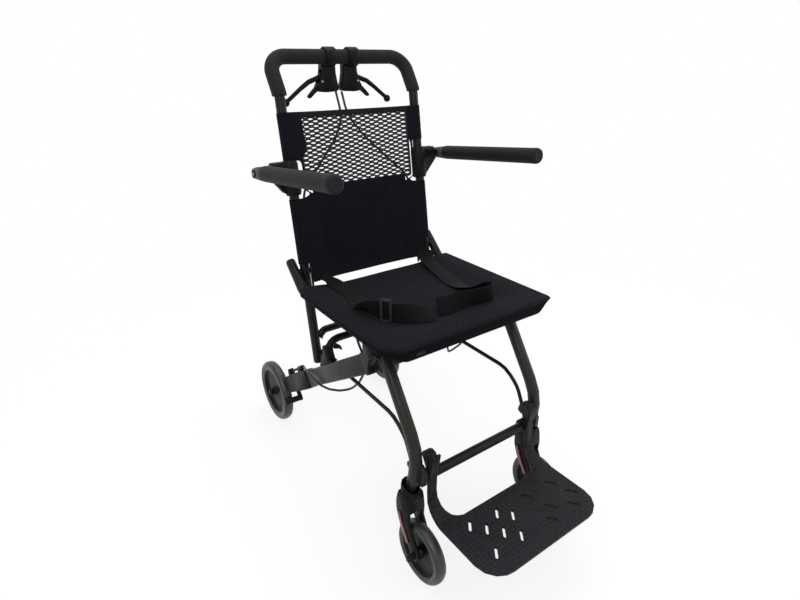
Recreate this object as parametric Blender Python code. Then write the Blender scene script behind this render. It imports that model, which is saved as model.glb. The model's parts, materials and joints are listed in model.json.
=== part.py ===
# Folding transport wheelchair, modelled as separate jointed pieces.
# Every size below is in millimetres and becomes metres in pt(); +Z is up, -Y is the front,
# and +X is the sitter's left. The rest pose is the open chair with both casters turned forward.
import bpy
import bmesh
from math import sin, cos, tan, pi, radians, degrees, atan2, hypot, acos
from mathutils import Vector, Matrix

for ob in list(bpy.data.objects):
    bpy.data.objects.remove(ob, do_unlink=True)

MM = 0.001
FIT = 0.3                # clearance between pieces that touch
DATUM_Y = 61.0           # moves the drawing's zero so that the chair's box is centred

# Frame tubes
TUBE_R = 10.0            # backrest and seat tube radius
CROSS_R = 8.0            # radius of the two arched cross tubes
BAR_R = 9.5              # radius of the straight bar between the front legs

# Backrest: one bent tube, both uprights and the push bar
BACK_X = 159.5
BACK_FOOT = (49.5, 297.0)
BACK_BEND = (134.8, 841.0)
BAR_AXIS = (176.0, 905.0)
HANDLE_R = 36.0          # bend radius at the ends of the push bar
GRIP_R = 15.5

# Seat
RAIL_X = 181.0
RAIL_Z = 463.0
SEAT_FRONT = -270.0
SEAT_REAR = 50.0
COVER_T = 2.2

# Fold pivots
BACK_PIVOT = (81.0, 493.0)
LEG_PIVOT = (-200.0, 436.0)
LINK_REAR = (50.9, 305.0)
LINK_FRONT = (-283.0, 230.0)
LINK_X = 145.0
LINK_W, LINK_D = 7.0, 10.0
PIN_R = 4.0
LEG_PIN_R = 5.0

# Legs
LEG_X = 152.0
LEG_FOOT_X = 156.0
LEG_W = 22.0
LEG_D = 20.0
BEAM_X = 160.0
BEAM_W = 20.0
BEAM_H = 40.0
BEAM_SLOPE = 0.656       # drop for each unit towards the rear
BEAM_Z0 = 282.7          # height of the rear leg's centre line at Y = 0
BAR_Y, BAR_Z = -306.0, 211.0

# Wheels
REAR_R, REAR_W, REAR_X = 81.3, 25.0, 171.0
REAR_HUB = (296.5, 81.3)
FRONT_R, FRONT_W = 62.5, 24.0
STEM_X, STEM_Y = 157.0, -294.0
FRONT_HUB = (-331.0, 62.5)

# Armrests
ARM_X = 222.0
ARM_PIVOT = (112.0, 700.0)
ARM_FRONT = (-190.0, 730.5)
PAD_R = 15.0

# Footrest
PLATE_Z, PLATE_T = 139.0, 6.5
PLATE_FRONT = -500.0
ARM_IN, ARM_OUT = 117.0, 137.0


def pt(x, y, z):
    return Vector((x, y + DATUM_Y, z)) * MM


def side(yz, x=0.0):
    return pt(x, yz[0], yz[1])


# Materials

def make_material(name, hexcol, rough, metal=0.0):
    mat = bpy.data.materials.new(name)
    mat.use_nodes = True
    rgb = [int(hexcol[i:i + 2], 16) / 255 for i in (0, 2, 4)]
    lin = [c / 12.92 if c <= 0.04045 else ((c + 0.055) / 1.055) ** 2.4 for c in rgb]
    bsdf = mat.node_tree.nodes["Principled BSDF"]
    bsdf.inputs["Base Color"].default_value = (*lin, 1)
    bsdf.inputs["Roughness"].default_value = rough
    bsdf.inputs["Metallic"].default_value = metal
    mat.diffuse_color = (*lin, 1)
    return mat


PAINT = make_material("frame_paint", "232325", 0.38, 0.3)
LEG_PAINT = make_material("leg_paint", "37362F", 0.42, 0.3)
MOULD = make_material("black_moulding", "17171A", 0.5)
ARM_PAINT = make_material("grey_arm_end", "5A5854", 0.5)
FOAM = make_material("foam_rubber", "202022", 0.75)
TYRE = make_material("grey_tyre", "3A3A36", 0.55)
RIM = make_material("black_rim", "121214", 0.45)
CLOTH = make_material("seat_cloth", "1F1D24", 0.9)
NET = make_material("back_net", "2B2A2C", 0.85)
WEB = make_material("belt_webbing", "1A191D", 0.85)
RED = make_material("red_reflector", "8C3A3A", 0.25)
PLATE = make_material("footplate_plastic", "2E2E33", 0.55)
CABLE = make_material("cable_sheath", "161618", 0.4)

# Bodies: an empty on each joint's axis carries the pieces that move with it.
BODY = {}


def body(name, pivot, parent=None):
    empty = bpy.data.objects.new("axis_" + name, None)
    bpy.context.scene.collection.objects.link(empty)
    empty.empty_display_size = 0.02
    base = BODY[parent][1] if parent else Vector((0, 0, 0))
    if parent:
        empty.parent = BODY[parent][0]
    empty.location = pivot - base
    BODY[name] = (empty, pivot)


body("seat", pt(0, 0, 0))
body("backrest", side(BACK_PIVOT), "seat")
body("front_legs", side(LEG_PIVOT), "seat")
body("rear_legs", side(LEG_PIVOT), "seat")
body("links", side(LINK_REAR), "backrest")
body("footrest", pt(0, BAR_Y, BAR_Z), "front_legs")
SIDES = (("left", 1), ("right", -1))
LEVER_Y = 186.0
LEVER_PIVOT = (40.0, 868.0)
LATCH_PIVOT = (47.0, 850.0)
BRAKE_PIVOT = (228.0, 124.0)
SHOE = (206.5, 97.0)
for tag, s in SIDES:
    body("armrest_" + tag, side(ARM_PIVOT, s * ARM_X), "backrest")
    body("lever_" + tag, pt(s * LEVER_PIVOT[0], LEVER_Y, LEVER_PIVOT[1]), "backrest")
    body("latch_" + tag, pt(s * LATCH_PIVOT[0], LEVER_Y, LATCH_PIVOT[1]), "backrest")
    body("caster_" + tag, pt(s * STEM_X, STEM_Y, 175), "front_legs")
    body("front_wheel_" + tag, side(FRONT_HUB, s * STEM_X), "caster_" + tag)
    body("rear_wheel_" + tag, side(REAR_HUB, s * REAR_X), "rear_legs")
    body("brake_" + tag, side(BRAKE_PIVOT, s * BEAM_X), "rear_legs")
body("fold_latch", pt(-141, 6, 343), "rear_legs")


# Building blocks

def circle(r, n=12):
    return [(r * cos(2 * pi * i / n), r * sin(2 * pi * i / n)) for i in range(n)]


def rounded(w, h, r, n=2):
    """Rounded rectangle, w across u and h across v."""
    out = []
    for cx, cy, a0 in ((w / 2 - r, h / 2 - r, 0), (r - w / 2, h / 2 - r, 90),
                       (r - w / 2, r - h / 2, 180), (w / 2 - r, r - h / 2, 270)):
        for i in range(n + 1):
            a = radians(a0 + 90 * i / n)
            out.append((cx + r * cos(a), cy + r * sin(a)))
    return out


def round_path(points, radii, step=24.0):
    """Polyline with each inner corner turned into an arc of the given radius."""
    pts = [Vector(p) for p in points]
    out = [pts[0]]
    for i in range(1, len(pts) - 1):
        a, b, c = pts[i - 1], pts[i], pts[i + 1]
        d0, d1 = (a - b).normalized(), (c - b).normalized()
        half = d0.angle(d1) / 2
        r = radii[i - 1] * MM
        centre = b + (d0 + d1).normalized() * (r / sin(half))
        s0 = b + d0 * (r / tan(half)) - centre
        s1 = b + d1 * (r / tan(half)) - centre
        turn = s0.angle(s1)
        n = max(1, round(degrees(turn) / step))
        for k in range(n + 1):
            t = k / n
            out.append(centre + (s0 * sin((1 - t) * turn) + s1 * sin(t * turn)) / sin(turn))
    out.append(pts[-1])
    return out


def frames(path, up=Vector((1, 0, 0))):
    """A matrix at every path point: local z along the path, local x nearest to up."""
    res = []
    for i, p in enumerate(path):
        before = (p - path[i - 1]).normalized() if i else None
        after = (path[i + 1] - p).normalized() if i < len(path) - 1 else None
        z = ((before or after) + (after or before)).normalized()
        stretch = 1.0
        if before and after:
            stretch = 1 / max(0.5, cos(before.angle(after) / 2))
        x = up - z * up.dot(z)
        if x.length < 1e-4:
            x = Vector((0, 0, 1)) - z * z.z
        x.normalize()
        y = z.cross(x)
        up = x
        bend = (after - before) if before and after else Vector((0, 0, 0))
        m = Matrix((x, y, z)).transposed().to_4x4()
        if bend.length > 1e-6:
            bn = bend.normalized()
            lx, ly = bn.dot(x), bn.dot(y)
            k = stretch - 1
            s = Matrix(((1 + k * lx * lx, k * lx * ly, 0, 0), (k * lx * ly, 1 + k * ly * ly, 0, 0),
                        (0, 0, 1, 0), (0, 0, 0, 1)))
            m = m @ s
        m.translation = p
        res.append(m)
    return res


def scaled(frame, k, shift=0.0):
    """The same frame with its section scaled by k and moved shift mm along the path."""
    return frame @ Matrix.Translation((0, 0, shift * MM)) @ Matrix.Diagonal((k, k, 1, 1))


def extrude_along(bm, section, mats):
    """Extrude a face, or a ring of faces, through a row of frames."""
    if isinstance(section, tuple):
        outer, inner = section
        vo = [bm.verts.new(mats[0] @ Vector((u * MM, v * MM, 0))) for u, v in outer]
        vi = [bm.verts.new(mats[0] @ Vector((u * MM, v * MM, 0))) for u, v in inner]
        n = len(vo)
        faces = [bm.faces.new((vo[i], vo[(i + 1) % n], vi[(i + 1) % n], vi[i])) for i in range(n)]
    else:
        faces = [bm.faces.new([bm.verts.new(mats[0] @ Vector((u * MM, v * MM, 0)))
                               for u, v in section])]
    first = True
    ring = isinstance(section, tuple)
    for a, b in zip(mats, mats[1:]):
        old = faces
        got = bmesh.ops.extrude_face_region(bm, geom=faces)["geom"]
        verts = [g for g in got if isinstance(g, bmesh.types.BMVert)]
        faces = [g for g in got if isinstance(g, bmesh.types.BMFace)]
        if not first:
            bmesh.ops.delete(bm, geom=[f for f in old if f.is_valid],
                             context="FACES" if ring else "FACES_ONLY")
        first = False
        bmesh.ops.transform(bm, matrix=b @ a.inverted(), verts=verts)
    return bm


def tube(bm, path, r, n=12, dome=(0, 0), inner=None):
    """Round tube or solid bar along a path; dome is the length of each rounded end in mm."""
    fr = frames(path)
    mats = list(fr)
    if dome[0]:
        mats = [scaled(fr[0], 0.45), scaled(fr[0], 0.8, dome[0] * 0.3),
                scaled(fr[0], 1, dome[0])] + mats[1:]
    if dome[1]:
        mats = mats[:-1] + [scaled(fr[-1], 1, -dome[1]), scaled(fr[-1], 0.8, -dome[1] * 0.3),
                            scaled(fr[-1], 0.45)]
    section = (circle(r, n), circle(inner, n)) if inner else circle(r, n)
    return extrude_along(bm, section, mats)


def prism(bm, outline, frame, depth):
    """Extrude a flat outline (or an outline with one hole) along the frame's z."""
    return extrude_along(bm, outline, [frame, frame @ Matrix.Translation((0, 0, depth * MM))])


def side_frame(x, y=0.0, z=0.0):
    """Frame at x whose local x runs along +Y, local y along +Z and local z along +X."""
    m = Matrix(((0, 0, 1), (1, 0, 0), (0, 1, 0))).to_4x4()
    m.translation = pt(x, y, z)
    return m


def front_frame(y, x=0.0, z=0.0):
    """Frame at y whose local x runs along +X, local y along +Z and local z along -Y."""
    m = Matrix(((1, 0, 0), (0, 0, -1), (0, 1, 0))).to_4x4()
    m.translation = pt(x, y, z)
    return m


def revolve(bm, profile, frame, n=24):
    """Spin a profile of (radius, height along the frame's z) round that axis."""
    verts = [bm.verts.new(Vector((r * MM, 0, h * MM))) for r, h in profile]
    closed = min(r for r, h in profile) > 0.01
    loop = verts + verts[:1] if closed else verts
    edges = [bm.edges.new((a, b)) for a, b in zip(loop, loop[1:])]
    bmesh.ops.spin(bm, geom=verts + edges, cent=(0, 0, 0), axis=(0, 0, 1), angle=2 * pi,
                   steps=n, use_merge=True, use_duplicate=False)
    bmesh.ops.remove_doubles(bm, verts=bm.verts, dist=1e-6)
    bmesh.ops.transform(bm, matrix=frame, verts=bm.verts)
    return bm


def hull_outline(discs, n=10):
    """Outline round two discs ((u, v, r), (u, v, r)), like a belt over two pulleys."""
    (u0, v0, r0), (u1, v1, r1) = discs
    d = hypot(u1 - u0, v1 - v0)
    base = atan2(v1 - v0, u1 - u0)
    off = acos((r0 - r1) / d)
    out = []
    for i in range(n + 1):
        a = base + off + (2 * pi - 2 * off) * i / n
        out.append((u0 + r0 * cos(a), v0 + r0 * sin(a)))
    for i in range(n + 1):
        a = base - off + 2 * off * i / n
        out.append((u1 + r1 * cos(a), v1 + r1 * sin(a)))
    return out


def soften(bm, width, angle=40, segments=1):
    """Bevel every edge sharper than the angle."""
    bmesh.ops.recalc_face_normals(bm, faces=bm.faces)
    edges = [e for e in bm.edges if len(e.link_faces) == 2
             and degrees(e.calc_face_angle(0)) > angle]
    bmesh.ops.bevel(bm, geom=edges, offset=width * MM, affect="EDGES", segments=segments,
                    profile=0.5, material=-1, clamp_overlap=True)


def thicken(b, thick, outward):
    """Give a surface its thickness, half to each side; outward is the direction its outer face looks in."""
    bmesh.ops.recalc_face_normals(b, faces=b.faces)
    b.normal_update()
    if sum(f.normal.dot(outward) * f.calc_area() for f in b.faces) < 0:
        bmesh.ops.reverse_faces(b, faces=b.faces)
        b.normal_update()
    for v, normal in [(v, v.normal.copy()) for v in b.verts]:
        v.co += normal * (v.calc_shell_factor() * thick * MM / 2)
    bmesh.ops.solidify(b, geom=b.faces, thickness=thick * MM)


def finish(name, bm, mat, host, smooth=True, flip=False):
    """Turn world-space geometry into a named object that hangs on its body's axis."""
    if flip:
        bmesh.ops.scale(bm, vec=(-1, 1, 1), verts=bm.verts)
    bmesh.ops.recalc_face_normals(bm, faces=bm.faces)
    empty, pivot = BODY[host]
    bmesh.ops.translate(bm, vec=-pivot, verts=bm.verts)
    mesh = bpy.data.meshes.new(name)
    bm.to_mesh(mesh)
    bm.free()
    mesh.materials.append(mat)
    ob = bpy.data.objects.new(name, mesh)
    bpy.context.scene.collection.objects.link(ob)
    ob.parent = empty
    if smooth:
        for poly in mesh.polygons:
            poly.use_smooth = True
        mesh.set_sharp_from_angle(angle=radians(38))
    return ob


def combine(ob, build, operation):
    """Boolean another solid into or out of a piece, then drop that solid."""
    empty_name = next(k for k, v in BODY.items() if v[0] == ob.parent)
    bm = bmesh.new()
    build(bm)
    other = finish("tool", bm, ob.data.materials[0], empty_name, smooth=False)
    mod = ob.modifiers.new("cut", "BOOLEAN")
    mod.operation = operation
    mod.object = other
    bpy.context.view_layer.update()
    deps = bpy.context.evaluated_depsgraph_get()
    mesh = bpy.data.meshes.new_from_object(ob.evaluated_get(deps), depsgraph=deps)
    ob.modifiers.clear()
    old = ob.data
    ob.data = mesh
    mesh.name = ob.name
    bpy.data.meshes.remove(old)
    spare = other.data
    bpy.data.objects.remove(other, do_unlink=True)
    bpy.data.meshes.remove(spare)
    for poly in mesh.polygons:
        poly.use_smooth = True
    mesh.set_sharp_from_angle(angle=radians(38))


def pair(name, build, mat, host, extra=()):
    """Build a piece on the left and its mirror image on the right."""
    made = []
    for tag, s in SIDES:
        bm = bmesh.new()
        build(bm)
        target = host if host in BODY else host + "_" + tag
        ob = finish(name + "_" + tag, bm, mat, target, flip=s < 0)
        for kind, tool in extra:
            def mirrored(b, tool=tool, s=s):
                tool(b)
                if s < 0:
                    bmesh.ops.scale(b, vec=(-1, 1, 1), verts=b.verts)
                    bmesh.ops.reverse_faces(b, faces=b.faces)
            combine(ob, mirrored, kind)
        made.append(ob)
    return made


def single(name, build, mat, host, extra=()):
    bm = bmesh.new()
    build(bm)
    ob = finish(name, bm, mat, host)
    for kind, tool in extra:
        combine(ob, tool, kind)
    return ob


def rod(x0, x1, yz, r, n=12):
    """Builder of a round bar along X."""
    return lambda b: prism(b, circle(r, n), side_frame(x0, *yz), x1 - x0)


def back_y(z):
    """Y of the uprights' axis at height z."""
    return BACK_FOOT[0] + (z - BACK_FOOT[1]) * (BACK_BEND[0] - BACK_FOOT[0]) / (BACK_BEND[1] - BACK_FOOT[1])


BACK_DIR = (side(BACK_BEND) - side(BACK_FOOT)).normalized()


def back_point(x, z, v=0.0):
    """Point at height z in the uprights' plane, v mm behind it."""
    return pt(x, back_y(z), z) + Vector((0, BACK_DIR.z, -BACK_DIR.y)) * v * MM


def beam_z(y, v=0.0):
    """Height of the rear leg's centre line at y; v moves it square to the beam, up positive."""
    return BEAM_Z0 - BEAM_SLOPE * y + v * hypot(1, BEAM_SLOPE)


# Seat tube: two rails, the front bar between them and the upswept rear ends with the fold pins

def seat_tube(b):
    half = [pt(RAIL_X, 105, 515), pt(RAIL_X, SEAT_REAR, RAIL_Z), pt(RAIL_X, SEAT_FRONT, RAIL_Z)]
    far = [Vector((-p.x, p.y, p.z)) for p in reversed(half)]
    tube(b, round_path(half + far, (22, 38, 38, 22)), TUBE_R, dome=(5, 5))


def mirror(b, s):
    if s < 0:
        bmesh.ops.scale(b, vec=(-1, 1, 1), verts=b.verts)
        bmesh.ops.reverse_faces(b, faces=b.faces)


def fold_pins(s):
    """Pin through the upright: rivet head inside, spacer against the rail outside."""
    def build(b):
        x = BACK_X - TUBE_R
        prof = [(0.0, -5), (6, -5), (7.5, -1), (PIN_R, -1), (PIN_R, 20.6), (7.5, 20.6), (7.5, 29), (0.0, 29)]
        revolve(b, prof, side_frame(x, *BACK_PIVOT), 8)
        mirror(b, s)
    return build


single("seat_tube", seat_tube, PAINT, "seat", [("UNION", fold_pins(1)), ("UNION", fold_pins(-1))])

# Hinge bracket under each rail: a saddle on the tube with the pin both legs turn on

def hinge_bracket(b):
    outline = [(-20, 26), (-19, 12), (-13, -5), (-6, -11), (4, -11), (9, -6), (10, 8), (10, 26)]
    prism(b, outline, side_frame(172.8, *LEG_PIVOT), 15.2)
    soften(b, 1.6)


def saddle(b):
    prism(b, circle(TUBE_R + FIT), front_frame(LEG_PIVOT[0] + 60, RAIL_X, RAIL_Z), 120)


def hinge_pin(b):
    prof = [(0.0, 0), (6, 0), (8, 3.4), (LEG_PIN_R, 3.4), (LEG_PIN_R, 40), (0.0, 40)]
    revolve(b, prof, side_frame(LEG_X - LEG_W / 2 - 4.0, *LEG_PIVOT), 10)


pair("leg_hinge_bracket", hinge_bracket, MOULD, "seat", [("DIFFERENCE", saddle), ("UNION", hinge_pin)])

# Seat cover: a sewn sling with a sagging middle, side flaps over the rails and a drooping front lip

COVER_X = RAIL_X + TUBE_R + FIT + COVER_T / 2
COVER_FRONT = SEAT_FRONT - TUBE_R - FIT - COVER_T / 2


def smooth(t):
    t = min(1.0, max(0.0, t))
    return t * t * (3 - 2 * t)


def cover_point(x, y):
    """Middle surface of the sling: level over the tubes, sagging between them."""
    edge = smooth((RAIL_X - 12 - abs(x)) / 70)
    front = smooth((y - SEAT_FRONT - 8) / 70)
    wave = 1.2 * sin(y / 31.0)
    return pt(x, y, RAIL_Z + TUBE_R + FIT + COVER_T / 2 - (9.0 - wave) * edge * front)


def corner_point(x, y):
    """Plan position with the front corners rounded: wide on the right, nearly square on the left."""
    r = 42.0 if x < 0 else 14.0
    u = (abs(x) - COVER_X + r) / r
    v = (COVER_FRONT + r - y) / r
    if u <= 0 or v <= 0:
        return x, y
    k = max(u, v) / hypot(u, v)
    return (1 if x > 0 else -1) * (COVER_X - r + u * k * r), COVER_FRONT + r - v * k * r


def flap_drop(x, y):
    """Depth of the hanging edge: a front lip, shallower round the corners and along the rails."""
    front = smooth((COVER_FRONT + 46 - y) / 40)
    lip = 17.0 + 10.5 * front * smooth((COVER_X - 2 + x) / 38)
    if x > 0:
        lip -= 23.0 * smooth((x - 160) / 28) * smooth((COVER_FRONT + 30 - y) / 24)
    return lip


COVER_XS = (-COVER_X, -182, -165, -140, -90, -30, 30, 90, 140, 165, 182, COVER_X)
COVER_YS = (COVER_FRONT, COVER_FRONT + 10, COVER_FRONT + 26, COVER_FRONT + 46, -200, -150, -100, -50, 0, 40)


def seat_cover(b):
    grid = [[b.verts.new(cover_point(*corner_point(x, y))) for x in COVER_XS] for y in COVER_YS]
    for low, high in zip(grid, grid[1:]):
        for i in range(len(low) - 1):
            b.faces.new((low[i], low[i + 1], high[i + 1], high[i]))
    edges = [e for e in b.edges if len(e.link_faces) == 1
             and not all(v in grid[-1] for v in e.verts)]
    for share, flare in ((0.38, 0.6), (0.62, 0.9)):
        down = bmesh.ops.extrude_edge_only(b, edges=edges)["geom"]
        verts = [g for g in down if isinstance(g, bmesh.types.BMVert)]
        edges = [g for g in down if isinstance(g, bmesh.types.BMEdge) and all(v in verts for v in g.verts)]
        for v in verts:
            x, y = v.co.x / MM, v.co.y / MM - DATUM_Y
            v.co.z -= flap_drop(x, y) * share * MM
            out = Vector((x / COVER_X, min(0.0, (y - COVER_FRONT - 46) / 46), 0))
            v.co += out.normalized() * flare * MM if out.length > 0.9 else Vector((0, 0, 0))
    thicken(b, COVER_T, Vector((0, 0, 1)))


single("seat_cover", seat_cover, CLOTH, "seat")

# Ribbons and cables

def seat_z(x, y):
    """Top of the sling at a point, between its grid's lines."""
    i = max(k for k in range(len(COVER_XS) - 1) if COVER_XS[k] <= max(x, COVER_XS[0]))
    j = max(k for k in range(len(COVER_YS) - 1) if COVER_YS[k] <= max(y, COVER_YS[0]))
    x0, x1, y0, y1 = COVER_XS[i], COVER_XS[i + 1], COVER_YS[j], COVER_YS[j + 1]
    s, t = (x - x0) / (x1 - x0), min(1.0, (y - y0) / (y1 - y0))
    low = cover_point(x0, y0).z * (1 - s) + cover_point(x1, y0).z * s
    high = cover_point(x0, y1).z * (1 - s) + cover_point(x1, y1).z * s
    return (low * (1 - t) + high * t) / MM + COVER_T / 2


def strap_frames(points, width, lift=1.8):
    """Frames of a strap over the seat through (x, y, tilt, extra height): x across it, z along it."""
    path = [pt(x, y, seat_z(x, y) + extra) for x, y, tilt, extra in points]
    mats = []
    for f, (x, y, tilt, extra) in zip(frames(path), points):
        along = Vector((f[0][2], f[1][2], f[2][2])).normalized()
        flat = along.cross(Vector((0, 0, 1))).normalized()
        a = radians(tilt)
        u = flat * cos(a) + flat.cross(along) * sin(a)
        m = Matrix((u, along.cross(u), along)).transposed().to_4x4()
        reach = [u * (width / 2 * k / 4) for k in range(-4, 5)]
        m.translation = pt(x, y, lift + extra + max(seat_z(x + r.x, y + r.y) - r.z for r in reach))
        mats.append(m)
    return mats


def ribbon(points, width, thick=1.6):
    """Webbing through the strap's points; it stands on edge where it is tilted."""
    return lambda b: extrude_along(b, rounded(width, thick, 0.6, 1), strap_frames(points, width))


def cable_upper(b):
    """Down from the lever body, across behind the net and along the inside of the upright."""
    path = [pt(7, 187, 836.5), back_point(7, 812, 43), back_point(13, 785, 34), back_point(36, 751, 25),
            back_point(72, 715, 20), back_point(100, 687, 15), back_point(132, 658, 10),
            back_point(141, 600, 8), back_point(142, 452, 8)]
    tube(b, round_path(path, (40, 60, 60, 90, 90, 60, 120), 60), 2.5, 5)


def cable_mid(b):
    tube(b, round_path([pt(142, 72, 446), pt(145, 48, 452), pt(150, -60, 452), pt(150, -100, 430)],
                       (60, 60), 60), 2.5, 5)


def cable_lower(b):
    """Under the seat, behind the rear leg, a loop below it and up to the brake adjuster."""
    path = [pt(150, -104, 424), pt(147, -110, 400), pt(137.5, -113, 368), pt(136, -106, 326), pt(136, -88, 298),
            pt(136, -62, 271), pt(139.5, -45, 257.5), pt(152, -30, 251.5), pt(166, -10, 249.5), pt(174, 14, 249.5),
            pt(177, 44, 252.5), pt(176, 84, 254.5), pt(165.5, 110, 242), pt(160, 131, 232.6)]
    tube(b, round_path(path, (40, 40, 60, 50, 40, 30, 30, 30, 40, 60, 60, 60, 40), 60), 2.5, 5)


# Backrest tube and its arched cross tube

def handle_path(low):
    half = [low, side(BACK_BEND, BACK_X), side(BAR_AXIS, BACK_X)]
    far = [Vector((-p.x, p.y, p.z)) for p in reversed(half)]
    return round_path(half + far, (20, HANDLE_R, HANDLE_R, 20))


def backrest_tube(b):
    tube(b, handle_path(side(BACK_FOOT, BACK_X) - BACK_DIR * 10 * MM), TUBE_R, dome=(5, 5))


def link_pin(s):
    """Stub pin on the inner side of the upright's foot, with a rivet head that keeps the link on."""
    def build(b):
        x = LINK_X - LINK_W / 2 - FIT
        prof = [(0.0, -4.5), (5.5, -4.5), (6.5, 0), (PIN_R, 0), (PIN_R, LINK_W + 2 * FIT),
                (7, LINK_W + 2 * FIT), (7, 20), (0.0, 20)]
        revolve(b, prof, side_frame(x, *LINK_REAR), 8)
        mirror(b, s)
    return build


single("backrest_tube", backrest_tube, PAINT, "backrest",
       [("DIFFERENCE", rod(-175, 175, BACK_PIVOT, PIN_R + FIT)),
        ("UNION", link_pin(1)), ("UNION", link_pin(-1))])


def backrest_cross(b):
    x = BACK_X - 4
    path = [back_point(x, 341), back_point(x - 20, 357), back_point(20 - x, 357), back_point(-x, 341)]
    tube(b, round_path(path, (18, 18)), CROSS_R)


def cope(s):
    """The arch's end is shaped to the round upright it is welded to."""
    return lambda b: tube(b, [back_point(s * BACK_X, 300), back_point(s * BACK_X, 390)], TUBE_R + FIT, 16)


single("backrest_cross_tube", backrest_cross, PAINT, "backrest",
       [("DIFFERENCE", cope(1)), ("DIFFERENCE", cope(-1))])

# Foam grip: a sleeve over the push bar and both bends

def foam_grip(b):
    tube(b, handle_path(back_point(BACK_X, 836)), GRIP_R, 12, inner=TUBE_R + FIT)


single("foam_grip", foam_grip, FOAM, "backrest")

# Backrest net: a cloth panel with a see-through diamond net above and side sleeves on the uprights

NET_TOP, NET_BOTTOM = 806.0, 467.0
NET_LOW, NET_HIGH = 658.0, 797.0
NET_X = 112.0
CUT_LOW, CUT_HIGH = 643.0, (NET_LOW + NET_HIGH) / 2
SLEEVE_LOW = BACK_PIVOT[1] + 15
NET_T = 1.2
SLEEVE_R = TUBE_R + (FIT + NET_T / 2) / cos(pi / 12)


def backrest_net(b):
    cols, rows = 8, 12
    dx, dz = NET_X / cols, (NET_HIGH - NET_LOW) / rows
    net = {}
    for j in range(rows + 1):
        for i in range(-cols, cols + 1):
            if (i + j) % 2 == 0:
                net[i, j] = b.verts.new(back_point(i * dx, NET_LOW + j * dz))
    holes = []
    for j in range(1, rows):
        for i in range(-cols + 1, cols):
            if (i + j) % 2:
                holes.append(b.faces.new((net[i, j - 1], net[i + 1, j], net[i, j + 1], net[i - 1, j])))
    for i in range(-cols + 1, cols, 2):
        b.faces.new((net[i - 1, 0], net[i + 1, 0], net[i, 1]))
        b.faces.new((net[i + 1, rows], net[i - 1, rows], net[i, rows - 1]))
    for j in range(1, rows, 2):
        b.faces.new((net[-cols, j - 1], net[1 - cols, j], net[-cols, j + 1]))
        b.faces.new((net[cols, j - 1], net[cols, j + 1], net[cols - 1, j]))
    # Side sleeves: across the front of the tube, round its outer side and a little way behind it,
    # cut away where the armrest clamp and the fold pin sit
    wrap = [(118, 0.0), (140, -6.0)]
    wrap += [(BACK_X + SLEEVE_R * cos(radians(a)), SLEEVE_R * sin(radians(a))) for a in range(-90, 91, 30)]
    wrap.append((147, SLEEVE_R))
    levels = (NET_BOTTOM, SLEEVE_LOW, CUT_LOW, NET_LOW, CUT_HIGH, NET_HIGH, NET_TOP)
    hem = {}
    for s in (1, -1):
        table = {z: [b.verts.new(back_point(s * x, z, v)) for x, v in wrap] for z in levels}
        for z in (NET_BOTTOM, SLEEVE_LOW, CUT_LOW, NET_TOP):
            hem[s, z] = b.verts.new(back_point(s * NET_X, z))
        for z0, z1 in zip(levels, levels[1:]):
            inner = [hem[s, z] for z in (z0, z1) if (s, z) in hem]
            steps = [net[s * cols, j] for j in range(0, rows + 1, 2)
                     if z0 - 0.01 <= NET_LOW + j * dz <= z1 + 0.01]
            if z0 < NET_LOW:
                inner = inner + steps
            elif z0 >= NET_HIGH:
                inner = steps + inner
            else:
                inner = steps
            b.faces.new(inner[::-1] + [table[z0][0], table[z1][0]])
            for k in range(len(wrap) - 1):
                if k > 0 and (z0 < SLEEVE_LOW or CUT_LOW <= z0 < CUT_HIGH):
                    continue
                b.faces.new((table[z0][k], table[z0][k + 1], table[z1][k + 1], table[z1][k]))
    b.faces.new([hem[1, z] for z in (NET_BOTTOM, SLEEVE_LOW, CUT_LOW)]
                + [hem[-1, z] for z in (CUT_LOW, SLEEVE_LOW, NET_BOTTOM)])
    b.faces.new([hem[1, CUT_LOW], hem[-1, CUT_LOW]] + [net[i, 0] for i in range(-cols, cols + 1, 2)])
    b.faces.new([hem[-1, NET_TOP], hem[1, NET_TOP]] + [net[i, rows] for i in range(cols, -cols - 1, -2)])
    bmesh.ops.delete(b, geom=[v for v in b.verts if not v.link_faces], context="VERTS")
    bmesh.ops.recalc_face_normals(b, faces=b.faces)
    b.normal_update()
    bmesh.ops.inset_individual(b, faces=holes, thickness=1.2 * MM, use_even_offset=True)
    bmesh.ops.delete(b, geom=holes, context="FACES")
    thicken(b, NET_T, Vector((0, -1, 0)))


single("backrest_net", backrest_net, NET, "backrest")

# Armrest clamp: collar on the upright, flat-topped lug and the slanted gusset that carries the pivot

ARM_IN_X, ARM_OUT_X = 208.5, 235.4


def armrest_clamp(b):
    heights = (650, 656, 710, 717)
    grow = (14.4, 16.4, 16.4, 14.4)
    mats = [scaled(f, g / 16.0) for f, g in zip(frames([back_point(BACK_X, z) for z in heights]), grow)]
    extrude_along(b, circle(16, 12), mats)


def clamp_gusset(b):
    """Plate across the chair: flat on top, its lower edge slanting in to the upright."""
    outline = [(BACK_X + 2, 656), (178, 655), (206, 689), (206, 706), (199, 716), (BACK_X + 2, 716)]
    prism(b, outline, front_frame(ARM_PIVOT[0] + 9, 0, 0), 18)
    soften(b, 1.5, 40)


def clamp_bore(b):
    tube(b, [back_point(BACK_X, 630), back_point(BACK_X, 740)], TUBE_R + FIT, 12)


def clamp_pin(b):
    prof = [(0.0, -4), (11, -4), (11, 2.1), (6, 2.1), (6, 29.8), (9, 29.8), (8.2, 31), (0.0, 31)]
    revolve(b, prof, side_frame(206, *ARM_PIVOT), 10)


pair("armrest_clamp", armrest_clamp, MOULD, "backrest",
     [("UNION", clamp_gusset), ("DIFFERENCE", clamp_bore), ("UNION", clamp_pin)])

# Armrest arm: squarish tapered root round the pivot, and the bar inside the pad

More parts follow.
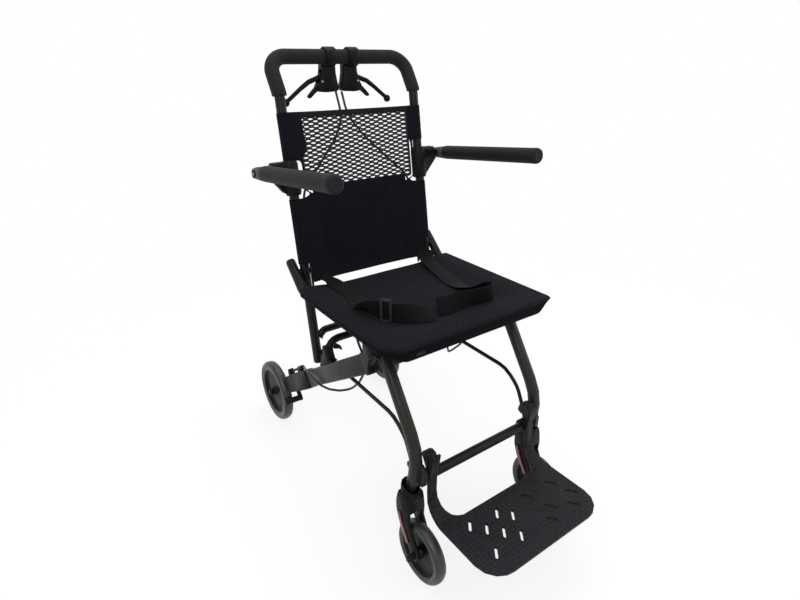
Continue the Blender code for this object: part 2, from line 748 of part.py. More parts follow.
ARM_DIR = (side(ARM_FRONT) - side(ARM_PIVOT)).normalized()
PAD_START = 24.0


def arm_point(t):
    """Point on the armrest's axis, t mm in front of its pivot."""
    return side(ARM_PIVOT, ARM_X) + ARM_DIR * t * MM


def armrest_arm(b):
    fr = frames([arm_point(t) for t in (-18, -15.5, -4, PAD_START - 4, PAD_START - FIT)])
    size = ((0.74, 0.6), (0.88, 0.72), (0.98, 0.86), (1, 1), (0.95, 0.95))
    mats = [f @ Matrix.Diagonal((u, v, 1, 1)) for f, (u, v) in zip(fr, size)]
    extrude_along(b, rounded(ARM_OUT_X - ARM_IN_X, 27, 8, 2), mats)


def arm_bar(b):
    tube(b, [arm_point(10), side(ARM_FRONT, ARM_X) - ARM_DIR * 8 * MM], TUBE_R)


pair("armrest_arm", armrest_arm, ARM_PAINT, "armrest",
     [("UNION", arm_bar), ("DIFFERENCE", rod(190, 250, ARM_PIVOT, 6 + FIT))])


def armrest_pad(b):
    end = side(ARM_FRONT, ARM_X)
    fr = frames([arm_point(PAD_START), end])
    mats = [scaled(fr[0], 0.93), scaled(fr[0], 1, 2.5), scaled(fr[1], 1, -7),
            scaled(fr[1], 0.88, -2.5), scaled(fr[1], 0.5)]
    extrude_along(b, circle(PAD_R, 14), mats)


def pad_bore(b):
    tube(b, [arm_point(14), side(ARM_FRONT, ARM_X) - ARM_DIR * (8 - FIT) * MM], TUBE_R + FIT)


pair("armrest_pad", armrest_pad, FOAM, "armrest", [("DIFFERENCE", pad_bore)])

# Brake lever body: a clamp band on the grip and a housing that hangs from it and flares outwards

CLAMP_X0, CLAMP_X1 = 15.0, 39.0


def lever_body(b):
    outline = [(12, 24), (41, 24), (41.5, 11), (43, -5), (49, -22), (57, -37), (46, -42.5), (33, -43.5),
               (7, -42), (2.4, -36), (6.5, -22), (9.5, -6), (10, 11)]
    prism(b, outline, front_frame(LEVER_Y + 11, 0, 880), 20)
    soften(b, 2.2, 45)


def lever_ring(b):
    width = CLAMP_X1 - CLAMP_X0
    prof = [(0.0, 0), (GRIP_R + 2.8, 0), (GRIP_R + 3.8, 1.4), (GRIP_R + 3.8, width - 1.4),
            (GRIP_R + 2.8, width), (0.0, width)]
    revolve(b, prof, side_frame(CLAMP_X0, *BAR_AXIS), 14)


def ring_bore(b):
    prism(b, circle(GRIP_R + FIT), side_frame(-5, *BAR_AXIS), 80)


def lever_slot(b):
    """Opening on the outer side for the lever's root and the parking latch."""
    prism(b, [(26, 1), (70, 1), (74, -46), (60, -50), (35, -32)], front_frame(LEVER_Y + 6, 0, 880), 12)


def lever_pins(b):
    x, z = LEVER_PIVOT
    prism(b, circle(2.5, 8), front_frame(LEVER_Y + 8, x, z), 16)


def latch_pin(b):
    x, z = LATCH_PIVOT
    prism(b, circle(2.5, 8), front_frame(LEVER_Y + 8, x, z), 16)


pair("brake_lever_body", lever_body, MOULD, "backrest",
     [("UNION", lever_ring), ("DIFFERENCE", ring_bore), ("DIFFERENCE", lever_slot),
      ("UNION", lever_pins), ("UNION", latch_pin)])


def lever_blade(b):
    path = round_path([pt(37, LEVER_Y, 866), pt(60, LEVER_Y, 864), pt(88, LEVER_Y, 846),
                       pt(123, LEVER_Y, 820)], (50, 90))
    fr = frames(path, Vector((0, 1, 0)))
    n = len(fr) - 1
    mats = [scaled(f, 1.0 - 0.22 * i / n) for i, f in enumerate(fr)]
    extrude_along(b, rounded(9.5, 10.5, 3.5, 1), mats)


def lever_ball(b):
    bmesh.ops.create_uvsphere(b, u_segments=8, v_segments=6, radius=8 * MM,
                              matrix=Matrix.Translation(pt(124, LEVER_Y, 819)))


def pin_hole(point):
    return lambda b: prism(b, circle(2.5 + FIT, 8), front_frame(LEVER_Y + 20, *point), 40)


def lever_root(b):
    prism(b, circle(7.5, 8), front_frame(LEVER_Y + 4.75, *LEVER_PIVOT), 9.5)


pair("brake_lever", lever_blade, MOULD, "lever",
     [("UNION", lever_root), ("UNION", lever_ball), ("DIFFERENCE", pin_hole(LEVER_PIVOT))])


def latch_body(b):
    outline = hull_outline(((0, 0, 5), (24, -21, 3.4)), 4)
    prism(b, outline, front_frame(LEVER_Y + 4, *LATCH_PIVOT), 8)


pair("parking_latch", latch_body, MOULD, "latch", [("DIFFERENCE", pin_hole(LATCH_PIVOT))])
pair("brake_cable_upper", cable_upper, CABLE, "backrest")

# Links from the uprights' feet to the front legs: flat bars, straight under the seat, then hooked down

def link(b):
    path = [side(LINK_REAR, LINK_X), pt(LINK_X, -225, 301.5), pt(LINK_X, -262, 274), side(LINK_FRONT, LINK_X)]
    extrude_along(b, rounded(LINK_W - 1, LINK_D, 2.5, 1), frames(round_path(path, (60, 50), 18)))


def link_eyes(b):
    prism(b, circle(8.5, 10), side_frame(LINK_X - LINK_W / 2, *LINK_REAR), LINK_W)


def link_front_eye(b):
    revolve(b, [(0.0, 0), (7.5, 0), (7.5, LINK_W), (0.0, LINK_W)], side_frame(LINK_X - LINK_W / 2, *LINK_FRONT), 10)


pair("link", link, PAINT, "links",
     [("UNION", link_eyes), ("UNION", link_front_eye), ("DIFFERENCE", rod(110, 170, LINK_REAR, PIN_R + FIT))])

# Front legs: one bent oval tube each, with the hinge eye above and the footrest plate below

def front_leg(b):
    path = [pt(LEG_X, -190.5, 446), pt(LEG_X, -311, 266), pt(LEG_FOOT_X, -294, 186)]
    fr = frames(round_path(path, (105,), 18))
    fr[-1] = fr[-1] @ Matrix.Diagonal((0.9, 1.0, 1, 1))
    mats = [scaled(fr[0], 0.7, -1.5), scaled(fr[0], 1, 2)] + fr[1:]
    extrude_along(b, rounded(LEG_W, LEG_D, 7, 2), mats)


def leg_bore(b):
    prism(b, circle(LEG_PIN_R + FIT), side_frame(120, *LEG_PIVOT), 80)


LUG_X = ARM_OUT + 3.6    # inner face of the plates that the bar is welded between, clear of the footrest


def footrest_plate_lug(b):
    """Plate welded inboard of the leg: it carries the end of the bar and the footrest's stop."""
    outline = [(-6, 34), (1, 34), (9, 18), (12, -1), (8, -8), (-12, -8), (-17, -2), (-17, 20)]
    prism(b, outline, side_frame(LUG_X, BAR_Y, BAR_Z), 9)


EAR_T = 3.4
EAR_IN = LINK_X - LINK_W / 2 - FIT - EAR_T
EAR_OUT = LINK_X + LINK_W / 2 + FIT


def link_ear(x):
    """One cheek of the clevis behind the leg that holds the link's front pin."""
    y, z = LINK_FRONT
    outline = [(y + 8 * cos(radians(a)), z + 8 * sin(radians(a))) for a in (90, 30, -30, -90)]
    outline += [(y - 8, z - 7), (y - 20, z - 7), (y - 20, z + 13), (y - 10, z + 13)]
    return lambda b: prism(b, outline, side_frame(x), EAR_T)


def ear_rivet(x):
    return lambda b: prism(b, circle(4.6, 8), side_frame(x, *LINK_FRONT), EAR_T)


def stem_core(b):
    prism(b, circle(8.9), Matrix.Translation(pt(STEM_X, STEM_Y, 170)), 30)


pair("front_leg", front_leg, LEG_PAINT, "front_legs",
     [("DIFFERENCE", leg_bore), ("UNION", footrest_plate_lug), ("UNION", link_ear(EAR_IN)),
      ("UNION", link_ear(EAR_OUT)), ("UNION", ear_rivet(EAR_IN - 1.5)), ("UNION", ear_rivet(EAR_OUT + 1.5)),
      ("UNION", stem_core)])
single("front_cross_tube",
       lambda b: prism(b, circle(BAR_R, 14), side_frame(FIT - LUG_X, BAR_Y, BAR_Z), 2 * (LUG_X - FIT)),
       PAINT, "front_legs")

# Footrest: one moulding, two arms that widen into the slotted plate

ARM_MID_Y = BAR_Y - BAR_R - FIT - PLATE_T / 2
BEND_R = 45.0
HEAD_OUT = 134.0        # the arms' tops stay clear of the link clevises when the footrest flips up


def footrest_rows():
    """Rows of (y, z, inner half-width, outer half-width) from the arm's top to the front edge."""
    rows = [(ARM_MID_Y, BAR_Z + 35, ARM_IN, HEAD_OUT), (ARM_MID_Y, BAR_Z + 15, ARM_IN, HEAD_OUT),
            (ARM_MID_Y, BAR_Z + 6, ARM_IN, ARM_OUT), (ARM_MID_Y, PLATE_Z + BEND_R, ARM_IN, ARM_OUT)]
    for a, xi in ((22, 116.8), (45, 115), (60, 112), (75, 106), (84, 98), (90, 88)):
        rows.append((ARM_MID_Y - BEND_R * (1 - cos(radians(a))), PLATE_Z + BEND_R * (1 - sin(radians(a))),
                     xi, ARM_OUT + 5.5 * a / 90))
    start = ARM_MID_Y - BEND_R
    corner = 46.0
    side_end = PLATE_FRONT + corner
    rows.append((side_end, PLATE_Z, 60, 143))
    for a in (25, 50, 72, 90):
        rows.append((side_end - corner * sin(radians(a)), PLATE_Z, 60, 143 - corner * (1 - cos(radians(a)))))
    return rows


def footrest(b):
    table = []
    for y, z, xi, xo in footrest_rows():
        xs = [xi, xi + (xo - xi) * 0.5, xo]
        table.append({s: [b.verts.new(pt(s * x, y, z)) for x in xs] for s in (1, -1)})
    whole = 9
    for n, (a, c) in enumerate(zip(table, table[1:])):
        for s in (1, -1):
            for k in range(2):
                b.faces.new((a[s][k], a[s][k + 1], c[s][k + 1], c[s][k]))
        if n >= whole:
            b.faces.new((a[1][0], a[-1][0], c[-1][0], c[1][0]))
    thicken(b, PLATE_T, Vector((0, 0, 1)))
    top = [e for e in b.edges if not e.is_boundary and e.calc_face_angle(0) > 1.2
           and all(f.normal.z > -0.5 for f in e.link_faces)]
    bmesh.ops.bevel(b, geom=top, offset=1.4 * MM, affect="EDGES", segments=1, profile=0.5, material=-1)


def footrest_hubs(b):
    for s in (1, -1):
        prism(b, circle(14.5), side_frame(s * 127 - 10, BAR_Y, BAR_Z), 20)


def hub_bores(b):
    prism(b, circle(BAR_R + FIT, 14), side_frame(-150, BAR_Y, BAR_Z), 300)


def footrest_heads(b):
    """Rounded head with a finger tab on top of each arm."""
    outline = [(-5, -6), (5, -6), (12, -2), (19, 12), (24, 18), (22, 25), (14, 29), (5, 28), (0, 22),
               (-5, 30), (-10, 30), (-8, 16)]
    for s in (1, -1):
        x = s * ARM_IN if s > 0 else s * HEAD_OUT
        prism(b, outline, side_frame(x, ARM_MID_Y, 238), HEAD_OUT - ARM_IN)


def tread_slots(b):
    """Narrow drain slots in a mirrored herringbone."""
    right = [(-96 + 20 * k, -391 - 22.5 * k) for k in range(4)] + [(-36, -398), (-15, -418), (-98, -459)]
    left = [(103, -404), (119, -442), (97, -465), (57, -443), (35, -466), (39, -400)]
    for x, y in right + left:
        angle = radians(52 if x < 0 else 131)
        m = Matrix.Translation(pt(x, y, PLATE_Z - 10)) @ Matrix.Rotation(angle, 4, "Z")
        prism(b, [(-13, 0), (-10.5, -2.7), (10.5, -2.7), (13, 0), (10.5, 2.7), (-10.5, 2.7)], m, 20)


single("footrest", footrest, PLATE, "footrest",
       [("UNION", footrest_hubs), ("DIFFERENCE", hub_bores), ("UNION", footrest_heads),
        ("DIFFERENCE", tread_slots)])

# Caster fork: scooped collar round the leg's foot, crown and two cheeks that lean forward to the axle

FORK_IN, FORK_OUT = FRONT_W / 2 + 2.0, 19.6
FORK_FOOT = (FRONT_HUB[0] - STEM_Y, FRONT_HUB[1])


def caster_fork(b):
    fy, fz = FORK_FOOT
    outline = [(-13, 183), (13, 183), (17, 172), (20, 158), (19, 138), (9, 112), (-12, 82)]
    outline += [(fy + 13 * cos(radians(a)), fz + 13 * sin(radians(a))) for a in (10, -50, -110, -170)]
    outline += [(fy - 11, fz + 14), (-31, 104), (-19, 128), (-20, 150), (-17, 172)]
    prism(b, outline, side_frame(STEM_X - FORK_OUT, STEM_Y, 0), 2 * FORK_OUT)
    soften(b, 2.0, 80)


def fork_gap(b):
    """Space for the wheel: it runs up between the cheeks to the crown."""
    prism(b, [(-90, 30), (60, 30), (60, 124), (30, 137), (-18, 147), (-90, 140)],
          side_frame(STEM_X - FORK_IN, STEM_Y, 0), 2 * FORK_IN)


def fork_axle(b):
    out = FORK_OUT + 14
    prof = [(0.0, 0), (5.5, 0), (6.8, 2), (6.8, 16), (4, 16), (4, 2 * out - 16), (6.8, 2 * out - 16),
            (6.8, 2 * out - 2), (5.5, 2 * out), (0.0, 2 * out)]
    revolve(b, prof, side_frame(STEM_X - out, STEM_Y + FORK_FOOT[0], FORK_FOOT[1]), 8)


def stem_hole(b):
    prof = [(0.0, 169.7), (9 + FIT, 169.7), (9 + FIT, 177), (15, 177), (16.1, 190), (16.1, 215), (0.0, 215)]
    revolve(b, prof, Matrix.Translation(pt(STEM_X, STEM_Y, 0)), 12)


def fork_collar_ring(b):
    """Collar wall with a lip, open above for the leg's foot."""
    prof = [(0.0, 168), (18.2, 168), (18.6, 176), (17.8, 199), (17.2, 202), (0.0, 202)]
    revolve(b, prof, Matrix.Translation(pt(STEM_X, STEM_Y, 0)), 12)


def collar_scoop(b):
    """The front of the collar is scooped down."""
    outline = [(17 * cos(radians(a)), 17 * sin(radians(a))) for a in range(180, 361, 30)]
    prism(b, outline + [(17, 20), (-17, 20)], front_frame(STEM_Y + 2, STEM_X, 204), 30)


pair("caster_fork", caster_fork, MOULD, "caster",
     [("DIFFERENCE", fork_gap), ("UNION", fork_collar_ring), ("DIFFERENCE", stem_hole),
      ("DIFFERENCE", collar_scoop), ("UNION", fork_axle)])


def reflector(x):
    def build(b):
        pts = [pt(x, STEM_Y + y, z) for y, z in ((9.5, 138), (-2, 112), (-14, 93), (-20.5, 82))]
        extrude_along(b, rounded(2.4, 8.5, 1.1, 1), frames(pts))
    return build


pair("reflector_outer", reflector(STEM_X + FORK_OUT + FIT + 1.2), RED, "caster")
pair("reflector_inner", reflector(STEM_X - FORK_OUT - FIT - 1.2), RED, "caster")

# Wheels: a tyre with a rounded tread on a rim whose dished web is closed

def wheel_parts(prefix, host, yz, x, radius, width, bore, hub_in, hub_out):
    rim_r = radius * 0.74
    half = width / 2

    def tyre(b):
        prof = [(rim_r + FIT, -half * 0.8), (radius - 8, -half), (radius - 1.8, -half * 0.62), (radius, 0),
                (radius - 1.8, half * 0.62), (radius - 8, half), (rim_r + FIT, half * 0.8)]
        revolve(b, prof, side_frame(x, *yz), 24)

    def rim(b):
        """Cross-section from the inner hub face round the web and flange to the outer hub face."""
        web = bore + 9
        prof = [(bore, -hub_in), (bore + 5, -hub_in), (web, -5), (rim_r - 7, -4), (rim_r, -half * 0.76),
                (rim_r, half * 0.76), (rim_r - 7, 3), (web, 4), (bore + 5, hub_out), (bore, hub_out)]
        revolve(b, prof, side_frame(x, *yz), 12)

    pair(prefix + "_tyre", tyre, TYRE, host)
    pair(prefix + "_rim", rim, RIM, host)


wheel_parts("front_wheel", "front_wheel", FRONT_HUB, STEM_X, FRONT_R, FRONT_W, 4 + FIT,
            FORK_IN - FIT, FORK_IN - FIT)
wheel_parts("rear_wheel", "rear_wheel", REAR_HUB, REAR_X, REAR_R, REAR_W, 5 + FIT, 11.5, 12.0)

# Rear legs: deep rectangular beams with a moulded clevis above and a moulded hub housing below

BEAM_DIR = Vector((0, 1, -BEAM_SLOPE)).normalized()
BEAM_UP = Vector((0, BEAM_SLOPE, 1)).normalized()
SOCKET_END = -163.0
HOUSING_START = 90.0
HOUSING_END = 216.0


def beam_frame(y, x=BEAM_X):
    """Frame on the beam's centre line: local x along +X, local y square to the beam, z along it."""
    m = Matrix((Vector((1, 0, 0)), -BEAM_UP, BEAM_DIR)).transposed().to_4x4()
    m.translation = pt(x, y, beam_z(y))
    return m


def beam_point(y, v):
    """Side-view point v mm above the beam's centre line, square to it, from the point at y."""
    return y + v * BEAM_UP.y, beam_z(y) + v * BEAM_UP.z


def rear_leg(b):
    extrude_along(b, rounded(BEAM_W, BEAM_H, 4, 2), [beam_frame(SOCKET_END - 9), beam_frame(HOUSING_START + 24)])


pair("rear_leg", rear_leg, LEG_PAINT, "rear_legs")


def leg_socket(b):
    """Cap on the beam's upper end with a rounded lower corner."""
    outline = [beam_point(SOCKET_END, 21.8), beam_point(SOCKET_END, -21.8), beam_point(SOCKET_END - 11, -21.8),
               beam_point(SOCKET_END - 15, -18), beam_point(SOCKET_END - 15, 21.8)]
    prism(b, outline, side_frame(BEAM_X - 12.2), 24.4)
    soften(b, 1.4, 50)


def socket_cheek(b):
    """Outer plate that reaches up past the front leg to the pin."""
    py, pz = LEG_PIVOT
    outline = [beam_point(SOCKET_END - 5, 20), beam_point(SOCKET_END - 2, -16)]
    outline += [(py + 12 * cos(radians(a)), pz + 12 * sin(radians(a))) for a in (200, 160, 120, 80, 40, 0)]
    prism(b, outline, side_frame(LEG_X + LEG_W / 2 + 0.6), BEAM_X + 12.2 - LEG_X - LEG_W / 2 - 0.6)


def socket_pocket(b):
    extrude_along(b, rounded(BEAM_W + 2 * FIT, BEAM_H + 2 * FIT, 4, 2),
                  [beam_frame(SOCKET_END - 9 - FIT), beam_frame(SOCKET_END + 40)])


pair("rear_leg_socket", leg_socket, MOULD, "rear_legs",
     [("UNION", socket_cheek), ("DIFFERENCE", socket_pocket), ("DIFFERENCE", leg_bore)])


def rear_cross(b):
    x = BEAM_X - 3
    path = [pt(x, 0, 325), pt(x, 0, 362), pt(-x, 0, 362), pt(-x, 0, 325)]
    extrude_along(b, circle(CROSS_R), frames(round_path(path, (25, 25)), Vector((0, 1, 0))))


def cross_foot(s):
    """Flared foot that carries the arch on the beam's upper face."""
    def build(b):
        y0, y1 = -26.0, 27.0
        outline = [(-8.5, 350), (-11, 338), (-17, 327), (y0, beam_z(y0, 20) + 4.5), (y0, beam_z(y0, 20) + FIT * 1.2),
                   (y1, beam_z(y1, 20) + FIT * 1.2), (y1, beam_z(y1, 20) + 4.5), (16, 316), (11, 332), (8.5, 350)]
        prism(b, outline, side_frame(s * (BEAM_X - 1) - 9), 18)
        soften(b, 2.0, 75)
    return build


LATCH_X, LATCH_Z = -141.0, 343.0


def latch_ear(b):
    """Ear on the right foot with the fold latch's pin."""
    prof = [(0.0, -1), (5.5, -1), (5.5, 3), (2, 3), (2, 13.6), (0.0, 13.6)]
    revolve(b, prof, front_frame(11, LATCH_X, LATCH_Z), 8)


def latch_ear_web(b):
    prism(b, [(-151, 337), (-140, 337.6), (-137, 343), (-140, 348.4), (-151, 349)], front_frame(12, 0, 0), 4)


single("rear_cross_tube", rear_cross, MOULD, "rear_legs",
       [("UNION", cross_foot(1)), ("UNION", cross_foot(-1)), ("UNION", latch_ear_web), ("UNION", latch_ear)])


def fold_latch(b):
    outline = [(-4.5, 3.5), (3.5, 4.5), (9, 1), (13, -2), (17, -12), (13.5, -13), (9, -8), (2, -6),
               (-3, -4.5)]
    prism(b, outline, front_frame(7.7, LATCH_X, LATCH_Z), 9)


def latch_pin_hole(b):
    prism(b, circle(2 + FIT, 8), front_frame(30, LATCH_X, LATCH_Z), 50)


single("fold_latch", fold_latch, MOULD, "fold_latch", [("DIFFERENCE", latch_pin_hole)])

# Hub housing: sleeve over the beam's lower end, a narrow tongue down to the wheel, and the cable lug

TONGUE_IN, TONGUE_OUT = 146.0, 157.6
BARREL_UP = 30.0         # height of the cable adjuster above the beam's centre line


def hub_bracket(b):
    outline = [beam_point(HOUSING_START, 20.6), beam_point(HOUSING_START + 8, 22.5), beam_point(160, 23),
               beam_point(HOUSING_END, 20.5), beam_point(HOUSING_END, -20.5), beam_point(160, -22.5),
               beam_point(HOUSING_START + 8, -22.5), beam_point(HOUSING_START, -20.6)]
    prism(b, outline, side_frame(BEAM_X - 12.8), 25.4)
    soften(b, 2.0, 35)


def hub_tongue(b):
    """Plate beside the wheel, from the housing's inner wall to the axle."""
    hy, hz = REAR_HUB
    outline = [beam_point(190, 20), beam_point(HOUSING_END + 10, 20)]
    outline += [(hy + 18 * cos(radians(a)), hz + 18 * sin(radians(a))) for a in (55, 20, -15, -50, -85, -120)]
    outline += [beam_point(HOUSING_END + 4, -19.5), beam_point(190, -20)]
    prism(b, outline, side_frame(TONGUE_IN), TONGUE_OUT - TONGUE_IN)


def hub_axle(b):
    """Axle from the tongue through the wheel, with its cap outside."""
    end = REAR_X + 12.6 - TONGUE_IN
    prof = [(0.0, -3), (7, -3), (9, -1), (9, 11.9), (5, 11.9), (5, end), (8.5, end), (8.5, end + 6),
            (6.5, end + 8), (0.0, end + 8)]
    revolve(b, prof, side_frame(TONGUE_IN, *REAR_HUB), 10)


def housing_pocket(b):
    extrude_along(b, rounded(BEAM_W + 2 * FIT, BEAM_H + 2 * FIT, 4, 2),
                  [beam_frame(HOUSING_START - 40), beam_frame(HOUSING_START + 24 + FIT)])


def cable_lug(b):
    """Upright lug that the end of the brake cable pulls against."""
    prism(b, [(-5, -BARREL_UP - 7), (5, -BARREL_UP - 7), (7, -20), (-7, -20)], beam_frame(188), 14)


def cable_barrel(b):
    """Threaded adjuster barrel on a short web above the housing."""
    m = beam_frame(116)
    fr = [m @ Matrix.Translation((0, -BARREL_UP * MM, d * MM)) for d in (0, 3, 30, 33, 92)]
    mats = [f @ Matrix.Diagonal((k, k, 1, 1)) for f, k in zip(fr, (0.8, 1, 1, 0.5, 0.5))]
    extrude_along(b, circle(6, 8), mats)


def barrel_web(b):
    prism(b, [(-4, 1 - BARREL_UP), (4, 1 - BARREL_UP), (6, -18), (-6, -18)], beam_frame(130), 16)


def brake_pin(b):
    prof = [(0.0, -8.4), (6, -8.4), (6, -6.6), (3.5, -6.6), (3.5, 3), (0.0, 3)]
    revolve(b, prof, side_frame(TONGUE_IN, *BRAKE_PIVOT), 8)


pair("hub_bracket", hub_bracket, MOULD, "rear_legs",
     [("UNION", hub_tongue), ("UNION", hub_axle), ("DIFFERENCE", housing_pocket), ("UNION", barrel_web),
      ("UNION", cable_barrel), ("UNION", cable_lug), ("UNION", brake_pin)])


def brake_arm(b):
    outline = hull_outline(((*BRAKE_PIVOT, 8), (*SHOE, 8.5)), 5)
    prism(b, outline, side_frame(TONGUE_IN - FIT - 6), 6)


def brake_shoe(b):
    prism(b, rounded(14, 14, 4, 1), side_frame(TONGUE_IN - 4, *SHOE), REAR_X + REAR_W / 2 - TONGUE_IN + 6)


def brake_bore(b):
    prism(b, circle(3.5 + FIT, 10), side_frame(BEAM_X - 30, *BRAKE_PIVOT), 40)


pair("brake_arm", brake_arm, MOULD, "brake", [("UNION", brake_shoe), ("DIFFERENCE", brake_bore)])
pair("brake_cable_mid", cable_mid, CABLE, "seat")
pair("brake_cable_lower", cable_lower, CABLE, "rear_legs")

# Seat belt: two webbing straps lying on the sling, the left one turned back on itself, and the slide

STRAP_W = 36.0
LEFT_STRAP = ((140, 48, 0, 14), (122, 26, 0, 3), (96, -46, 0, 0), (72, -112, 0, 0), (68, -160, 18, 0),
              (84, -196, 50, 0), (80, -222, 72, 0), (56, -222, 60, 0), (26, -212, 40, 0), (-14, -204, 30, 0))
RIGHT_STRAP = ((-136, 46, 0, 12), (-120, 26, 0, 2), (-112, -46, 0, 0), (-124, -104, 6, 0),
               (-126, -140, 30, 2), (-108, -162, 52, 9), (-84, -166, 52, 9), (-58, -178, 40, 2),
               (-30, -200, 30, 0))
single("belt_strap_left", ribbon(LEFT_STRAP, STRAP_W), WEB, "seat")
single("belt_strap_right", ribbon(RIGHT_STRAP, STRAP_W), WEB, "seat")


def belt_slide(b):
    """Flat frame threaded on the strap, tilted to it."""
    m = strap_frames(RIGHT_STRAP, STRAP_W)[6] @ Matrix.Rotation(radians(48), 4, "X")
    prism(b, (rounded(STRAP_W + 11, 21, 3, 1), rounded(STRAP_W + 5, 14.5, 1.5, 1)),
          m @ Matrix.Translation((0, 0, -0.0015)), 3)


single("belt_slide", belt_slide, MOULD, "seat")

faces = sum(len(o.data.polygons) for o in bpy.data.objects if o.type == "MESH")
print("pieces", sum(o.type == "MESH" for o in bpy.data.objects), "faces", faces)
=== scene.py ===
import json
from math import copysign, cos, degrees, hypot, pi, radians, sin, tan

import bmesh
import bpy
from mathutils import Matrix, Vector, noise

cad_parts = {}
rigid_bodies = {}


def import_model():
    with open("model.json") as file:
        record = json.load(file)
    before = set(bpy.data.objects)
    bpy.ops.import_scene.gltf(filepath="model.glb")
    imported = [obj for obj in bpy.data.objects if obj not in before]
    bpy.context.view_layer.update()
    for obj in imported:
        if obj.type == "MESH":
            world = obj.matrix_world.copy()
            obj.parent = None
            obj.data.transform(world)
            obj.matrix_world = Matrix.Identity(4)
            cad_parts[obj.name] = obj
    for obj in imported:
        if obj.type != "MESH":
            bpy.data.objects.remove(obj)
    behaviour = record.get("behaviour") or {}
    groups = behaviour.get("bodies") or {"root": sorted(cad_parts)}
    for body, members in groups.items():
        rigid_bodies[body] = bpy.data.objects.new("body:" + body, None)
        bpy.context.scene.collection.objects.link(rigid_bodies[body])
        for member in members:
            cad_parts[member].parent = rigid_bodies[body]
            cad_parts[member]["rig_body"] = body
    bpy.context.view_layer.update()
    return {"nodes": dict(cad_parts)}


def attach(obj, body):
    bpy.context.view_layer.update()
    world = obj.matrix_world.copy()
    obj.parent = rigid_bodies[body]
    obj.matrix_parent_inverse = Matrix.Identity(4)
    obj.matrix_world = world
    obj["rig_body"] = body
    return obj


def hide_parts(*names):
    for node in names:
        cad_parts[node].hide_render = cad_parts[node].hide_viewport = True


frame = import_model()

# Backrest tube: one aluminium tube of 20 mm, bent into both uprights and the push bar across the top.
# It is powder coated in satin black: a soft sheen over a very fine orange peel, with a few pale scuffs.
# Rivets through its lower ends carry the links.
scene = bpy.context.scene
MM = 0.001
FLOOR_SHIFT = 61.0       # the drawing's zero lies this far behind the chair's middle
FIT = 0.3                # room between pieces that sit in each other
SIDES = ("left", "right")                        # of the sitter; the right is the mirror image
TUBE_R = 10.0
BACK_X = 159.5
BACK_FOOT = (49.5, 297.0)                        # y and height, as in the next two
BACK_BEND = (134.8, 841.0)
PUSH_BAR = (176.0, 905.0)
BACK_TAIL = 10.0         # the tube's end below its foot point
BACK_BEND_R, BAR_BEND_R = 20.0, 36.0


def place(x, y, z):
    """Drawing millimetres to metres in the model's frame."""
    return Vector((x, y + FLOOR_SHIFT, z)) * MM


def circle(r, n):
    """Outline of a round bar or tube with n corners."""
    return [(r * cos(2 * pi * i / n), r * sin(2 * pi * i / n)) for i in range(n)]


def bent(points, radii, step=6.0):
    """The line through the points with each inner corner bent to its radius in mm."""
    pts = [Vector(p) for p in points]
    out = [pts[0]]
    for i in range(1, len(pts) - 1):
        a, b, c = pts[i - 1], pts[i], pts[i + 1]
        d0, d1 = (a - b).normalized(), (c - b).normalized()
        half = d0.angle(d1) / 2
        r = radii[i - 1] * MM
        centre = b + (d0 + d1).normalized() * (r / sin(half))
        s0, s1 = b + d0 * (r / tan(half)) - centre, b + d1 * (r / tan(half)) - centre
        turn = s0.angle(s1)
        n = max(2, round(degrees(turn) / step))
        out += [centre + (s0 * sin((1 - k / n) * turn) + s1 * sin(k / n * turn)) / sin(turn)
                for k in range(n + 1)]
    return out + [pts[-1]]


def both_sides(half):
    """A path on the left carried on as its mirror image on the right."""
    return half + [Vector((-p.x, p.y, p.z)) for p in reversed(half)]


def station(x, y, z, at):
    """A matrix with these three axes at that place."""
    m = Matrix((x, y, z)).transposed().to_4x4()
    m.translation = at
    return m


def stations(path, up=Vector((1, 0, 0))):
    """A matrix at each point of a path: local z runs along it and local x stays nearest to up."""
    res = []
    for i, p in enumerate(path):
        before = (p - path[i - 1]).normalized() if i else None
        after = (path[i + 1] - p).normalized() if i < len(path) - 1 else None
        z = ((before or after) + (after or before)).normalized()
        x = (up - z * up.dot(z)).normalized()
        up = x
        res.append(station(x, z.cross(x), z, p))
    return res


def sized(m, k, shift=0.0):
    """The same station with its section scaled by k and moved shift mm along the path."""
    return m @ Matrix.Translation((0, 0, shift * MM)) @ Matrix.Diagonal((k, k, 1, 1))


def drawn_in(mats, steps):
    """Draw both ends of a run of stations in; steps are pairs of a scale and the mm from the end."""
    return ([sized(mats[0], k, d) for k, d in steps] + mats[1:-1]
            + [sized(mats[-1], k, -d) for k, d in reversed(steps)])


def swept(outline, mats, hole=None):
    """Pull a flat outline, or a ring, through the stations; along and across are kept for woven patterns."""
    bm = bmesh.new()
    along = bm.verts.layers.float.new("along")
    across = bm.verts.layers.float.new("across")
    loops = []
    for loop in (outline, hole) if hole else (outline,):
        verts = [bm.verts.new(mats[0] @ Vector((u * MM, v * MM, 0))) for u, v in loop]
        for v, (u, _) in zip(verts, loop):
            v[across] = u
        loops.append(verts)
    if hole:
        n = len(outline)
        faces = [bm.faces.new((loops[0][i], loops[0][(i + 1) % n], loops[1][(i + 1) % n], loops[1][i]))
                 for i in range(n)]
    else:
        faces = [bm.faces.new(loops[0])]
    length, first = 0.0, True
    for a, b in zip(mats, mats[1:]):
        length += (b.translation - a.translation).length / MM
        old = faces
        got = bmesh.ops.extrude_face_region(bm, geom=faces)["geom"]
        verts = [g for g in got if isinstance(g, bmesh.types.BMVert)]
        faces = [g for g in got if isinstance(g, bmesh.types.BMFace)]
        if not first:
            bmesh.ops.delete(bm, geom=[f for f in old if f.is_valid],
                             context="FACES" if hole else "FACES_ONLY")
        first = False
        bmesh.ops.transform(bm, matrix=b @ a.inverted(), verts=verts)
        for v in verts:
            v[along] = length
    return bm


